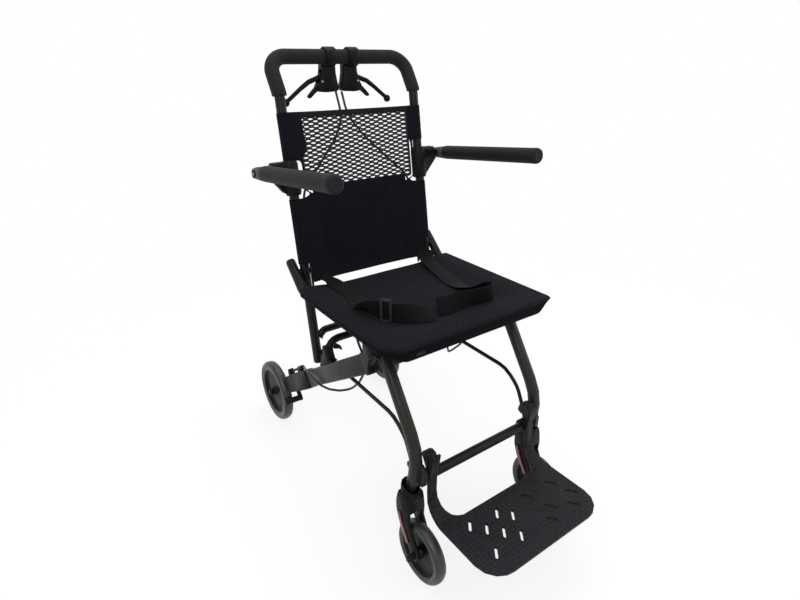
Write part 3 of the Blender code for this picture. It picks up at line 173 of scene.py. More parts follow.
def turned(profile, m, steps):
    """Spin a profile of (radius, height) round the local z of m."""
    bm = bmesh.new()
    verts = [bm.verts.new(Vector((r * MM, 0, h * MM))) for r, h in profile]
    loop = verts + verts[:1] if min(r for r, h in profile) > 0.01 else verts
    edges = [bm.edges.new(pair) for pair in zip(loop, loop[1:])]
    bmesh.ops.spin(bm, geom=verts + edges, cent=(0, 0, 0), axis=(0, 0, 1), angle=2 * pi, steps=steps,
                   use_merge=True, use_duplicate=False)
    bmesh.ops.transform(bm, matrix=m, verts=bm.verts)
    bmesh.ops.remove_doubles(bm, verts=bm.verts, dist=0.000002)
    return bm


def from_side(x, y, z):
    """Station at x that looks along +X: local x runs to the rear and local y up."""
    return station((0, 1, 0), (0, 0, 1), (1, 0, 0), place(x, y, z))


def made_of(mat, name, bm):
    """An object of one material from the mesh in hand."""
    mesh = bpy.data.meshes.new(name)
    bm.to_mesh(mesh)
    bm.free()
    mesh.materials.append(mat)
    ob = bpy.data.objects.new(name, mesh)
    scene.collection.objects.link(ob)
    return ob


def piece(name, bm, mat, body, nodes=(), sharp=40, edge=0.0, mirrored=False):
    """Close the mesh, give it its material and hang it on its body; edge is the rounding in mm."""
    if mirrored:
        bmesh.ops.scale(bm, vec=(-1, 1, 1), verts=bm.verts)
    bmesh.ops.recalc_face_normals(bm, faces=bm.faces)
    ob = made_of(mat, name, bm)
    ob.data.shade_smooth()
    if edge:
        bevel = ob.modifiers.new("rounded edges", "BEVEL")
        bevel.width, bevel.segments, bevel.profile = edge * MM, 2, 0.5
        bevel.limit_method, bevel.angle_limit = "ANGLE", radians(sharp)
        bevel.harden_normals = True
    else:
        ob.data.set_sharp_from_angle(angle=radians(sharp))
    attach(ob, body)
    if nodes:
        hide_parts(*nodes)
    return ob


def linear(code):
    """sRGB hex to the linear colour that a shader wants."""
    parts = [int(code[i:i + 2], 16) / 255 for i in (0, 2, 4)]
    return (*[p / 12.92 if p <= 0.04045 else ((p + 0.055) / 1.055) ** 2.4 for p in parts], 1.0)


def add(tree, kind, inputs=None, **settings):
    """Add a shader node with its settings; an input is a plain value or the socket that feeds it."""
    made = tree.nodes.new("ShaderNode" + kind)
    for key, value in settings.items():
        setattr(made, key, value)
    for key, value in (inputs or {}).items():
        if isinstance(value, bpy.types.NodeSocket):
            tree.links.new(value, made.inputs[key])
        else:
            made.inputs[key].default_value = value
    return made


def surface(name, **plain):
    """An empty material: its tree, its shader with the plain values set, and the object coordinates."""
    mat = bpy.data.materials.new(name)
    mat.use_nodes = True
    tree = mat.node_tree
    skin = tree.nodes["Principled BSDF"]
    for key, value in plain.items():
        skin.inputs[key.replace("_", " ")].default_value = value
    return mat, tree, skin, add(tree, "TexCoord").outputs["Object"]


def feed(skin, **patterns):
    """Lead patterns into a shader, each into the input that it is named for."""
    for key, value in patterns.items():
        skin.id_data.links.new(value, skin.inputs[key.replace("_", " ")])


def powder_coat(name, colour, scuffed, smoothest, roughest):
    """Satin powder coat: orange peel 1.4 mm across, cloudy sheen over 40 mm, small rubbed spots."""
    mat, tree, skin, spot = surface(name, IOR=1.5, Specular_IOR_Level=0.2)
    peel = add(tree, "TexNoise", {"Vector": spot, "Scale": 1 / 0.0014, "Detail": 1.0}).outputs["Fac"]
    clouds = add(tree, "TexNoise", {"Vector": spot, "Scale": 1 / 0.04, "Detail": 3.0}).outputs["Fac"]
    rubs = add(tree, "TexNoise", {"Vector": spot, "Scale": 1 / 0.011, "Detail": 6.0,
                                  "Roughness": 0.7}).outputs["Fac"]
    rubbed = add(tree, "MapRange", {"Value": rubs, "From Min": 0.64, "From Max": 0.76,
                                    "To Max": 0.7}).outputs[0]
    tone = add(tree, "Mix", {0: rubbed, 6: linear(colour), 7: linear(scuffed)}, data_type="RGBA").outputs[2]
    gloss = add(tree, "MapRange", {"Value": clouds, "From Min": 0.3, "From Max": 0.7, "To Min": smoothest,
                                   "To Max": roughest}).outputs[0]
    relief = add(tree, "Bump", {"Height": peel, "Strength": 0.5, "Distance": 0.00006}).outputs[0]
    feed(skin, Base_Color=tone, Roughness=gloss, Normal=relief)
    return mat


frame_paint = powder_coat("satin black powder coat", "0B0B0D", "1A1A1E", 0.32, 0.44)


def push_path(low):
    """From a point low on the left upright over the push bar to its mirror image on the right."""
    half = [low, place(BACK_X, *BACK_BEND), place(BACK_X, *PUSH_BAR)]
    return bent(both_sides(half), (BACK_BEND_R, BAR_BEND_R, BAR_BEND_R, BACK_BEND_R))


lean = (place(0, *BACK_BEND) - place(0, *BACK_FOOT)).normalized()
ends = stations(push_path(place(BACK_X, *BACK_FOOT) - lean * BACK_TAIL * MM))
bm = swept(circle(TUBE_R, 32), drawn_in(ends, ((0.55, 0), (0.86, 1.0), (1, 4))))
piece("backrest_frame_tube", bm, frame_paint, "backrest", ["backrest_tube"])
LINK_X, LINK_W = 145.0, 7.0
LINK_REAR = (50.9, 305.0)
rivet = [(0.0, -4.5), (4.6, -4.3), (5.7, -3.2), (6.5, 0), (4, 0), (4, LINK_W + 2 * FIT),
         (7, LINK_W + 2 * FIT), (7, 12), (0.0, 12)]
for side in SIDES:
    bm = turned(rivet, from_side(LINK_X - LINK_W / 2 - FIT, *LINK_REAR), 24)
    piece("link_rivet_" + side, bm, frame_paint, "backrest", mirrored=side == "right")

# Backrest cross tube: a thinner tube that arches between the uprights just above their feet.
# Its ends are coped and welded to them, and the same black coat covers the weld.


def back_y(z):
    """Y of the uprights' axis at height z."""
    return BACK_FOOT[0] + (z - BACK_FOOT[1]) * (BACK_BEND[0] - BACK_FOOT[0]) / (BACK_BEND[1] - BACK_FOOT[1])


def on_back(x, z, v=0.0):
    """A point at height z in the uprights' plane, v mm behind it."""
    return place(x, back_y(z), z) + Vector((0, lean.z, -lean.y)) * v * MM


CROSS_R = 8.0
ARCH_X = BACK_X - 9.0                            # its ends, inside the uprights
ARCH_FOOT, ARCH_TOP = 345.0, 357.0               # height of the ends and of the level middle
ARCH_RISE, ARCH_BEND_R = 15.0, 18.0
WELD_X, WELD_Z, WELD_FALL = ARCH_X - 5.0, 348.5, 0.75
WELD = ((0.0, 1.0), (2.0, 1.12), (4.5, 1.3))     # way towards the upright and how far the bead swells
half = [on_back(ARCH_X, ARCH_FOOT), on_back(ARCH_X - ARCH_RISE, ARCH_TOP)]
bm = swept(circle(CROSS_R, 28),
           stations(bent(both_sides(half), (ARCH_BEND_R, ARCH_BEND_R)), Vector((0, 1, 0))))
piece("backrest_arch", bm, frame_paint, "backrest", ["backrest_cross_tube"])
for side in SIDES:
    bead = stations([on_back(WELD_X + d, WELD_Z - d * WELD_FALL) for d, k in WELD], Vector((0, 1, 0)))
    bm = swept(circle(CROSS_R, 28), [sized(m, k) for m, (d, k) in zip(bead, WELD)])
    piece("arch_weld_" + side, bm, frame_paint, "backrest", mirrored=side == "right")

# Seat tube: two side rails and the front bar in one bend, swept up at the rear to the fold pins.
# The pins are steel rivets with washers, painted over with the frame.
RAIL_X, RAIL_Z = 181.0, 463.0
SEAT_FRONT, SEAT_REAR = -270.0, 50.0
RAIL_END = (105.0, 515.0)                        # y and height of the swept-up ends
BACK_PIVOT = (81.0, 493.0)
RAIL_BEND_R, SEAT_CORNER_R = 22.0, 38.0
half = [place(RAIL_X, *RAIL_END), place(RAIL_X, SEAT_REAR, RAIL_Z), place(RAIL_X, SEAT_FRONT, RAIL_Z)]
rail = stations(bent(both_sides(half), (RAIL_BEND_R, SEAT_CORNER_R, SEAT_CORNER_R, RAIL_BEND_R)))
bm = swept(circle(TUBE_R, 32), drawn_in(rail, ((0.5, 0), (0.85, 1.2), (1, 5))))
piece("seat_frame_tube", bm, frame_paint, "seat", ["seat_tube"])
pin = [(0.0, -5), (4.8, -4.8), (6, -4), (7.5, -1), (4, -1), (4, 2 * TUBE_R + 2 * FIT),
       (7.5, 2 * TUBE_R + 2 * FIT), (7.5, 24), (0.0, 24)]
for side in SIDES:
    bm = turned(pin, from_side(BACK_X - TUBE_R, *BACK_PIVOT), 24)
    piece("fold_pin_" + side, bm, frame_paint, "seat", mirrored=side == "right")

# Hinge brackets: black glass-filled nylon saddles under the rails, held by the pin that both legs turn on.
# The mould leaves a fine matt grain and slightly soft edges.


def mottled(tree, spot, size, detail, dark, pale, rough=0.5):
    """Clouds of that size in metres, and the colour that they blend from the dark and the pale one."""
    clouds = add(tree, "TexNoise", {"Vector": spot, "Scale": 1 / size, "Detail": detail,
                                    "Roughness": rough}).outputs["Fac"]
    tone = add(tree, "Mix", {0: clouds, 6: linear(dark), 7: linear(pale)}, data_type="RGBA").outputs[2]
    return clouds, tone


def moulded_nylon(name, colour, pale, grain, rough):
    """Moulded plastic: spark-eroded grain of that many metres, mottled by a hair, glossier in patches."""
    mat, tree, skin, spot = surface(name, IOR=1.52, Specular_IOR_Level=0.12)
    pits = add(tree, "TexNoise", {"Vector": spot, "Scale": 1 / grain, "Detail": 2.0}).outputs["Fac"]
    clouds, tone = mottled(tree, spot, 0.02, 4.0, colour, pale)
    gloss = add(tree, "MapRange", {"Value": clouds, "From Min": 0.3, "From Max": 0.7, "To Min": rough + 0.07,
                                   "To Max": rough - 0.07}).outputs[0]
    relief = add(tree, "Bump", {"Height": pits, "Strength": 0.6, "Distance": 0.00009}).outputs[0]
    feed(skin, Base_Color=tone, Roughness=gloss, Normal=relief)
    return mat


nylon = moulded_nylon("glass-filled nylon", "050507", "0C0C10", 0.0009, 0.46)


def worked(node, name, mat, edge=0.7, sharp=48):
    """A merged copy of a drawn piece with its flats joined and its edges rounded."""
    bm = bmesh.new()
    bm.from_mesh(frame["nodes"][node].data)
    bmesh.ops.remove_doubles(bm, verts=bm.verts, dist=0.00002)
    bmesh.ops.dissolve_limit(bm, angle_limit=radians(1.0), verts=bm.verts, edges=bm.edges)
    return piece(name, bm, mat, frame["nodes"][node]["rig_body"], [node], sharp, edge)


for side in SIDES:
    worked("leg_hinge_bracket_" + side, "hinge_saddle_" + side, nylon)

# Front legs: flat-oval aluminium tubes bent once, with welded plates at the foot and a straight bar
# between the plates that carries the footrest. Their satin black coat is painted grey-brown as painted light.


def plate(outline, m, depth):
    """A flat outline made depth mm thick along the local z of m."""
    return swept(outline, [m, m @ Matrix.Translation((0, 0, depth * MM))])


# The frame's black powder coat, painted a lighter grey-brown as the lit sides of the legs look: painted
# light.
painted_light_leg_coat = powder_coat("satin black powder coat, painted light", "1F1E1A", "32312C", 0.34, 0.46)
for side in SIDES:
    worked("front_leg_" + side, "front_leg_tube_" + side, painted_light_leg_coat)
BAR_R, BAR_Y, BAR_Z, LUG_X = 9.5, -306.0, 211.0, 140.6
bm = plate(circle(BAR_R, 32), from_side(FIT - LUG_X, BAR_Y, BAR_Z), 2 * (LUG_X - FIT))
piece("footrest_bar", bm, frame_paint, "front_legs", ["front_cross_tube"])

# Rear legs: deep rectangular aluminium beams, each with a nylon socket above and a housing below.
# The moulded arch stands across them on flared feet.
# The beams take the legs' coat, which is painted lighter than their black: painted light.
for side in SIDES:
    worked("rear_leg_" + side, "rear_beam_" + side, painted_light_leg_coat, 0.5)
    worked("rear_leg_socket_" + side, "beam_socket_" + side, nylon)
    worked("hub_bracket_" + side, "hub_housing_" + side, nylon, 0.6)
worked("rear_cross_tube", "rear_arch", nylon)

# Links: flat steel bars from the uprights' feet to the front legs, hooked down at the front.
# They turn on the rivets at the uprights and have the frame's black coat.
for side in SIDES:
    worked("link_" + side, "fold_link_" + side, frame_paint, 0.4)

# Caster forks: nylon mouldings with a scooped collar round the leg's foot and two cheeks to the axle.
# A moulded red acrylic strip is pressed on each cheek: dark red and glossy, with a painted glint round its
# small cells.
for side in SIDES:
    worked("caster_fork_" + side, "caster_fork_moulding_" + side, nylon, 1.0)
acrylic, tree, skin, spot = surface("red reflector acrylic", IOR=1.49, Roughness=0.2, Coat_Weight=0.25,
                                    Coat_Roughness=0.08)
cells = add(tree, "TexVoronoi", {"Vector": spot, "Scale": 1 / 0.0022}).outputs["Distance"]
# The cells' edges are painted a brighter red: a painted glint, not a colour of the acrylic.
painted_cell_glint = add(tree, "MapRange", {"Value": cells, "From Max": 0.8}).outputs[0]
tone = add(tree, "Mix", {0: painted_cell_glint, 6: linear("4E0D10"), 7: linear("7E2426")}, data_type="RGBA").outputs[2]
relief = add(tree, "Bump", {"Height": cells, "Strength": 0.5, "Distance": 0.0004}).outputs[0]
feed(skin, Base_Color=tone, Normal=relief)
for side in SIDES:
    for face in ("outer", "inner"):
        worked(f"reflector_{face}_{side}", f"reflector_strip_{face}_{side}", acrylic, 0.5)

# Wheels: grey polyurethane tyres with two fine mould grooves, pressed on closed black nylon rims.
# Dust mottles the tyres: clean patches are darker and shine more, dusty ones are paler and dull.
rubber, tree, skin, spot = surface("grey polyurethane", IOR=1.5, Specular_IOR_Level=0.5)
dust, tone = mottled(tree, spot, 0.018, 6.0, "161514", "2E2E29", 0.6)
gloss = add(tree, "MapRange", {"Value": dust, "From Min": 0.3, "From Max": 0.7, "To Min": 0.3,
                               "To Max": 0.52}).outputs[0]
pores = add(tree, "TexNoise", {"Vector": spot, "Scale": 1 / 0.0012, "Detail": 2.0}).outputs["Fac"]
relief = add(tree, "Bump", {"Height": pores, "Strength": 0.4, "Distance": 0.00008}).outputs[0]
feed(skin, Base_Color=tone, Roughness=gloss, Normal=relief)
rim_nylon = moulded_nylon("black rim nylon", "030304", "08080A", 0.0012, 0.42)
RIM = 0.74               # the rim's radius as a share of the wheel's


def tyre_profile(r, w):
    """Cross-section of a tyre: flat sides, round shoulders, a crowned tread with a groove near each edge."""
    bore, h = RIM * r + FIT, w / 2
    half = [(bore, 0.80), (bore + 2, 0.85), (r - 10.5, 0.97), (r - 8, 1.0), (r - 5.5, 0.965), (r - 3.6, 0.86),
            (r - 2.7, 0.78), (r - 3.1, 0.74), (r - 2.2, 0.68), (r - 1.0, 0.5), (r - 0.25, 0.25)]
    return [(p, -k * h) for p, k in half] + [(r, 0.0)] + [(p, k * h) for p, k in reversed(half)]


def wheel(prefix, x, y, r, w, bore, hub_in, hub_out):
    """A tyre and its rim on each side, r high over the floor; hub_in and hub_out are the hub's two ends."""
    rim, h, web = RIM * r, w / 2, bore + 9
    dish = [(bore, -hub_in), (bore + 4.4, -hub_in), (bore + 5, -hub_in + 0.6), (web - 1, -6), (web + 2, -4.4),
            (rim - 9, -3.6), (rim - 4, -5), (rim - 2.2, -h * 0.66), (rim, -h * 0.76), (rim, h * 0.76),
            (rim - 2.2, h * 0.66), (rim - 4, 4.4), (rim - 9, 2.8), (web + 2, 3.4), (web - 1, 5),
            (bore + 5, hub_out - 0.6), (bore + 4.4, hub_out), (bore, hub_out)]
    for side in SIDES:
        body, right = f"{prefix}_{side}", side == "right"
        tyre = turned(tyre_profile(r, w), from_side(x, y, r), 96)
        piece(f"{prefix}_tread_{side}", tyre, rubber, body, [f"{prefix}_tyre_{side}"], 60,
              mirrored=right)
        disc = turned(dish, from_side(x, y, r), 72)
        piece(f"{prefix}_disc_{side}", disc, rim_nylon, body, [f"{prefix}_rim_{side}"], 40,
              mirrored=right)


wheel("front_wheel", x=157.0, y=-331.0, r=62.5, w=24.0, bore=4.3, hub_in=13.7, hub_out=13.7)
wheel("rear_wheel", x=171.0, y=296.5, r=81.3, w=25.0, bore=5.3, hub_in=11.5, hub_out=12.0)

# Footrest: one polypropylene moulding, two side straps that widen into the foot plate. Matt black, with
# a basket weave of small blocks moulded in its tread, painted shade in its grooves, and narrow drain slots.
tread, tree, skin, spot = surface("moulded polypropylene", IOR=1.49, Specular_IOR_Level=0.15)
axes = add(tree, "SeparateXYZ", {"Vector": spot}).outputs
CELL = 0.0085            # one block of the basket weave in metres, with one rib along its middle
weave = []
for axis in (0, 1):
    step = add(tree, "Math", {0: axes[axis], 1: 1 / CELL}, operation="MULTIPLY").outputs[0]
    odd = add(tree, "Math", {0: step, 1: 2.0}, operation="FLOORED_MODULO").outputs[0]
    flag = add(tree, "Math", {0: odd, 1: 1.0}, operation="GREATER_THAN").outputs[0]
    wave = add(tree, "Math", {0: add(tree, "Math", {0: step, 1: 2 * pi}, operation="MULTIPLY").outputs[0]},
               operation="COSINE").outputs[0]
    weave.append((flag, wave))
same = add(tree, "Math", {0: weave[0][0], 1: weave[1][0]}, operation="COMPARE").outputs[0]
rib = add(tree, "Mix", {0: same, 2: weave[0][1], 3: weave[1][1]}).outputs[0]
grain = add(tree, "TexNoise", {"Vector": spot, "Scale": 1 / 0.0011, "Detail": 3.0}).outputs["Fac"]
# The grooves between the weave's ribs are painted darker: painted shade.
painted_groove_shade = add(tree, "MapRange", {"Value": rib, "From Min": 0.1, "From Max": 0.9}).outputs[0]
clouds, deep = mottled(tree, spot, 0.03, 4.0, "16161A", "222227")
tone = add(tree, "Mix", {0: painted_groove_shade, 6: deep, 7: linear("101013")}, data_type="RGBA").outputs[2]
gloss = add(tree, "MapRange", {"Value": clouds, "From Min": 0.3, "From Max": 0.7, "To Min": 0.44,
                               "To Max": 0.58}).outputs[0]
fine = add(tree, "Bump", {"Height": grain, "Strength": 0.5, "Distance": 0.00008}).outputs[0]
relief = add(tree, "Bump", {"Height": rib, "Strength": 0.5, "Distance": 0.0006, "Normal": fine},
             invert=True).outputs[0]
feed(skin, Base_Color=tone, Roughness=gloss, Normal=relief)
worked("footrest", "footrest_moulding", tread, 1.0, 40)

# Fold latch and brake arms: nylon mouldings like the brackets. The latch turns on a pin in the arch's
# right foot, and each arm turns on its hub housing and holds the shoe bar that presses on the tyre.
worked("fold_latch", "fold_latch_tab", nylon)
for side in SIDES:
    worked("brake_arm_" + side, "brake_arm_moulding_" + side, nylon)

# Foam grip: a closed-cell rubber foam sleeve pushed over the whole push bar and both of its bends.
# The foam is matt and slightly velvety, with tiny closed cells.
foam, tree, skin, spot = surface("closed-cell rubber foam", IOR=1.45, Roughness=0.72, Sheen_Weight=0.03,
                                 Sheen_Roughness=0.5, Specular_IOR_Level=0.2)
cells = add(tree, "TexVoronoi", {"Vector": spot, "Scale": 1 / 0.0013}).outputs["Distance"]
tone = mottled(tree, spot, 0.025, 4.0, "101013", "1A1A1D")[1]
relief = add(tree, "Bump", {"Height": cells, "Strength": 0.35, "Distance": 0.0002}).outputs[0]
feed(skin, Base_Color=tone, Normal=relief)
GRIP_R, GRIP_LOW = 14.3, 836.0
line = stations(push_path(on_back(BACK_X, GRIP_LOW)))
bm = swept(circle(GRIP_R, 36), drawn_in(line, ((0.94, 0), (0.985, 0.8), (1, 2.2))),
           circle(TUBE_R + FIT, 36))
foam_grip = piece("foam_grip_sleeve", bm, foam, "backrest", ["foam_grip"])

# Brake lever bodies: nylon clamps on the push bar that hang down and flare outwards, with the levers and
# the small parking latches pinned in their slots. A zinc-plated screw closes each clamp.


def from_front(y, x, z):
    """Station at y that looks along -Y: local x runs to the sitter's left and local y up."""
    return station((1, 0, 0), (0, 0, 1), (0, -1, 0), place(x, y, z))


# Zinc plating is pale and fairly rough, with faint cloudy marks 3 mm across.
zinc_steel, tree, skin, spot = surface("zinc-plated steel", Metallic=1.0)
clouds, tone = mottled(tree, spot, 0.003, 4.0, "8E8E90", "B9B9B6")
gloss = add(tree, "MapRange", {"Value": clouds, "To Min": 0.28, "To Max": 0.5}).outputs[0]
feed(skin, Base_Color=tone, Roughness=gloss)
SCREW_HEAD = [(0.0, 0.9), (1.2, 0.9), (1.5, 1.5), (2.9, 1.3), (3.3, 0.6), (3.3, -1.0), (0.0, -1.0)]
CLAMP_SCREW = [(r * 0.7, h) for r, h in SCREW_HEAD]
CLAMP_FACE_Y, SCREW_X, SCREW_Z = 177.0, 43.0, 858.0
for side in SIDES:
    worked("brake_lever_body_" + side, "lever_housing_" + side, nylon, 0.8)
    worked("brake_lever_" + side, "lever_blade_" + side, nylon, 0.6)
    worked("parking_latch_" + side, "latch_tab_" + side, nylon, 0.5)
    bm = turned(CLAMP_SCREW, from_front(CLAMP_FACE_Y, SCREW_X, SCREW_Z), 20)
    piece("clamp_screw_" + side, bm, zinc_steel, "backrest", mirrored=side == "right")

# Brake cables: smooth black PVC sheath over a steel wire, 5 mm thick and held at both ends. They run from
# each lever body behind the net, under the seat and up to the adjuster on the hub housing.
sheath, tree, skin, spot = surface("black PVC sheath", IOR=1.53, Specular_IOR_Level=0.35)
clouds, tone = mottled(tree, spot, 0.012, 3.0, "0C0C0E", "17171A")
gloss = add(tree, "MapRange", {"Value": clouds, "To Min": 0.3, "To Max": 0.48}).outputs[0]
feed(skin, Base_Color=tone, Roughness=gloss)
CABLE_R = 2.5
CABLES = (               # length, body, bend radii and points of the left one
    ("upper", "backrest", (40, 60, 60, 90, 90, 60, 120),
     [place(7, 187, 836.5), on_back(7, 812, 43), on_back(13, 785, 34), on_back(36, 751, 25),
      on_back(72, 715, 20), on_back(100, 687, 15), on_back(132, 658, 10), on_back(141, 600, 8),
      on_back(142, 452, 8)]),
    ("mid", "seat", (60, 60),
     [place(142, 72, 446), place(145, 48, 452), place(150, -60, 452), place(150, -100, 430)]),
    ("lower", "rear_legs", (40, 40, 60, 50, 40, 30, 30, 30, 40, 60, 60, 60, 40),
     [place(150, -104, 424), place(147, -110, 400), place(137.5, -113, 368), place(136, -106, 326),
      place(136, -88, 298), place(136, -62, 271), place(139.5, -45, 257.5), place(152, -30, 251.5),
      place(166, -10, 249.5), place(174, 14, 249.5), place(177, 44, 252.5), place(176, 84, 254.5),
      place(165.5, 110, 242), place(160, 131, 232.6)]))
for part, body, radii, points in CABLES:
    for side in SIDES:
        bm = swept(circle(CABLE_R, 14), stations(bent(points, radii, step=8)))
        piece(f"cable_{part}_{side}", bm, sheath, body, [f"brake_cable_{part}_{side}"],
              mirrored=side == "right")

# Armrests: a nylon clamp on each upright, a grey moulded root that turns on its pin, and a foam sleeve
# with a rounded cap over the bar. A zinc-plated screw shows on the pin.
arm_plastic = moulded_nylon("grey nylon", "3C3A37", "53514D", 0.0009, 0.5)
ARM_X, ARM_PIN_X = 222.0, 236.0                  # middle of the bar and outer end of the pin
ARM_PIVOT, ARM_FRONT = (112.0, 700.0), (-190.0, 730.5)
PAD_START, PAD_R = 24.0, 15.0
PAD_MOUTH = ((0.80, 0), (0.9, 0.6), (0.97, 2.2), (1, 5))     # scale, and mm from the pad's rear end
PAD_CAP = ((1, -16), (1.015, -12), (1.02, -8), (1.0, -5), (0.92, -2.2), (0.78, -0.7), (0.62, 0),
           (0.56, -0.3), (0.52, -0.9), (0.3, -1.0))          # scale, and mm from its front end
along_arm = (place(0, *ARM_FRONT) - place(0, *ARM_PIVOT)).normalized()
for side in SIDES:
    worked("armrest_clamp_" + side, "armrest_collar_" + side, nylon, 0.9)
    worked("armrest_arm_" + side, "armrest_root_" + side, arm_plastic, 0.6)
    start, end = stations([place(ARM_X, *ARM_PIVOT) + along_arm * PAD_START * MM, place(ARM_X, *ARM_FRONT)])
    pad = [sized(start, k, d) for k, d in PAD_MOUTH] + [sized(start, 1, d) for d in range(20, 260, 20)]
    bm = swept(circle(PAD_R, 32), pad + [sized(end, k, d) for k, d in PAD_CAP])
    ob = piece("armrest_sleeve_" + side, bm, foam, "armrest_" + side, ["armrest_pad_" + side],
               60, mirrored=side == "right")
    bm = turned(SCREW_HEAD, from_side(ARM_PIN_X, *ARM_PIVOT), 20)
    piece("armrest_screw_" + side, bm, zinc_steel, "backrest", mirrored=side == "right")

# Backrest net: polyester cloth stretched between the uprights. Above is an open net of flat diamonds,
# below it a closed double layer; a binding closes the top edge and a sleeve wraps each upright.
NET_TOP, NET_BOTTOM = 806.0, 467.0
NET_LOW, NET_HIGH = 658.0, 797.0                 # lower and upper edge of the open part
NET_TUCK = 3.0           # how far the open part and the binding run past their edge
NET_SIDE = 134.4
COLS, ROWS = 12, 16                              # cells across and up
LENS_X, LENS_Z = 8.6, 2.3                        # half width and half height of an opening


def net_cloth(name, dark, pale, yarn, rough, diamonds, cover=1.0):
    """Knitted polyester: fine yarn bump, little sheen; diamonds is how much of the net shows through."""
    mat, tree, skin, spot = surface(name, IOR=1.5, Roughness=rough, Sheen_Weight=0.03, Sheen_Roughness=0.45,
                                    Specular_IOR_Level=0.06, Alpha=cover)
    axes = add(tree, "SeparateXYZ", {"Vector": spot}).outputs
    threads = []
    for axis, pitch in ((0, yarn), (2, yarn * 0.8)):
        turn = add(tree, "Math", {0: axes[axis], 1: 2 * pi / pitch}, operation="MULTIPLY").outputs[0]
        threads.append(add(tree, "Math", {0: turn}, operation="SINE").outputs[0])
    knit = add(tree, "Math", {0: threads[0], 1: threads[1]}, operation="MULTIPLY").outputs[0]
    tone = mottled(tree, spot, 0.03, 5.0, dark, pale)[1]
    if diamonds:
        edges = []
        for axis, pitch in ((0, 0.0112), (2, 0.00435)):          # half a diamond, in metres
            swing = add(tree, "Math", {0: axes[axis], 1: pitch}, operation="PINGPONG").outputs[0]
            edges.append(add(tree, "Math", {0: swing, 1: 1 / pitch}, operation="MULTIPLY").outputs[0])
        total = add(tree, "Math", {0: edges[0], 1: edges[1]}, operation="ADD").outputs[0]
        away = add(tree, "Math", {0: total, 1: 1.0}, operation="SUBTRACT").outputs[0]
        off = add(tree, "Math", {0: away}, operation="ABSOLUTE").outputs[0]
        mark = add(tree, "MapRange", {"Value": off, "From Min": 0.55, "From Max": 0.9,
                                      "To Max": diamonds}).outputs[0]
        tone = add(tree, "Mix", {0: mark, 6: tone, 7: linear("2A2933")}, data_type="RGBA").outputs[2]
    relief = add(tree, "Bump", {"Height": knit, "Strength": 0.4, "Distance": 0.0002}).outputs[0]
    feed(skin, Base_Color=tone, Normal=relief)
    return mat


net_yarn = net_cloth("open polyester net", "1E1D20", "2C2B2E", 0.0016, 0.8, 0.0, 0.94)
panel_cloth = net_cloth("double polyester net", "0A0A0F", "111118", 0.0016, 0.85, 0.25)
sleeve_cloth = net_cloth("polyester sleeve cloth", "0C0B11", "13121A", 0.0016, 0.85, 0.12)


def grid(columns, rows, half=1.0):
    """A flat grid that reaches half to each side of its middle."""
    bm = bmesh.new()
    bmesh.ops.create_grid(bm, x_segments=columns, y_segments=rows, size=half)
    return bm


def sewn(ob, thick):
    """Give a cloth its thickness and one smoothing step."""
    wall = ob.modifiers.new("thickness", "SOLIDIFY")
    wall.thickness, wall.offset = thick * MM, 0.0
    soft = ob.modifiers.new("soft", "SUBSURF")
    soft.levels = soft.render_levels = 1
    return ob


def sheet_piece(name, bm, mat, thick, nodes=(), mirrored=False):
    """A finished cloth on the backrest."""
    return sewn(piece(name, bm, mat, "backrest", nodes, 60, mirrored=mirrored), thick)


def cloth_depth(x):
    """How far the cloth stands behind the uprights' middle; near them it passes in front of the tubes."""
    return 3.0 - 9.2 * (abs(x) / 140) ** 4


# Poking the grid's cells and dissolving their edges leaves diamonds; each is inset and its middle cut out.
bm = grid(COLS, ROWS)
bmesh.ops.scale(bm, vec=(NET_SIDE, (NET_HIGH - NET_LOW) / 2 + NET_TUCK, 1), verts=bm.verts)
grid_edges = [e for e in bm.edges if not e.is_boundary]
bmesh.ops.poke(bm, faces=bm.faces)
bmesh.ops.dissolve_edges(bm, edges=[e for e in grid_edges if e.is_valid], use_verts=False)
cells = [f for f in bm.faces if len(f.verts) == 4]
bmesh.ops.inset_individual(bm, faces=cells, thickness=1.0, use_even_offset=True)
for f in cells:
    middle = f.calc_center_median()
    for v in f.verts:
        out = v.co - middle
        if abs(out.x) > abs(out.y):
            v.co = middle + Vector((copysign(LENS_X, out.x), 0, 0))
        else:
            v.co = middle + Vector((0, copysign(LENS_Z, out.y), 0))
bmesh.ops.delete(bm, geom=cells, context="FACES")
for v in bm.verts:
    v.co = on_back(v.co.x, (NET_LOW + NET_HIGH) / 2 + v.co.y, cloth_depth(v.co.x))
open_net = sheet_piece("back_net_open", bm, net_yarn, 1.0)

PANEL_X, PANEL_LAP = 118.0, 4.0                  # half width, and how far it overlaps the open part
RIPPLE, RIPPLE_X = 0.5, 17.0                     # depth of the waves at its lower edge, mm per radian
bm = grid(40, 34)
for v in bm.verts:
    x = v.co.x * PANEL_X
    z = NET_BOTTOM + (v.co.y + 1) / 2 * (NET_LOW + PANEL_LAP - NET_BOTTOM)
    low = 1 - (z - NET_BOTTOM) / (NET_LOW - NET_BOTTOM)
    v.co = on_back(x, z, cloth_depth(x) + RIPPLE * sin(x / RIPPLE_X) * low ** 3)
lower = sheet_piece("back_net_double", bm, panel_cloth, 1.6, ["backrest_net"])

BINDING_X, BINDING_PROUD = 136.0, 0.3
hem_cloth = net_cloth("binding tape", "151511", "1E1E19", 0.0012, 0.8, 0.0)
bm = grid(40, 2)
for v in bm.verts:
    x = v.co.x * BINDING_X
    z = (NET_HIGH - NET_TUCK + NET_TOP) / 2 + v.co.y * (NET_TOP - NET_HIGH + NET_TUCK) / 2
    v.co = on_back(x, z, cloth_depth(x) - BINDING_PROUD)
top_hem = sheet_piece("back_top_binding", bm, hem_cloth, 2.2)

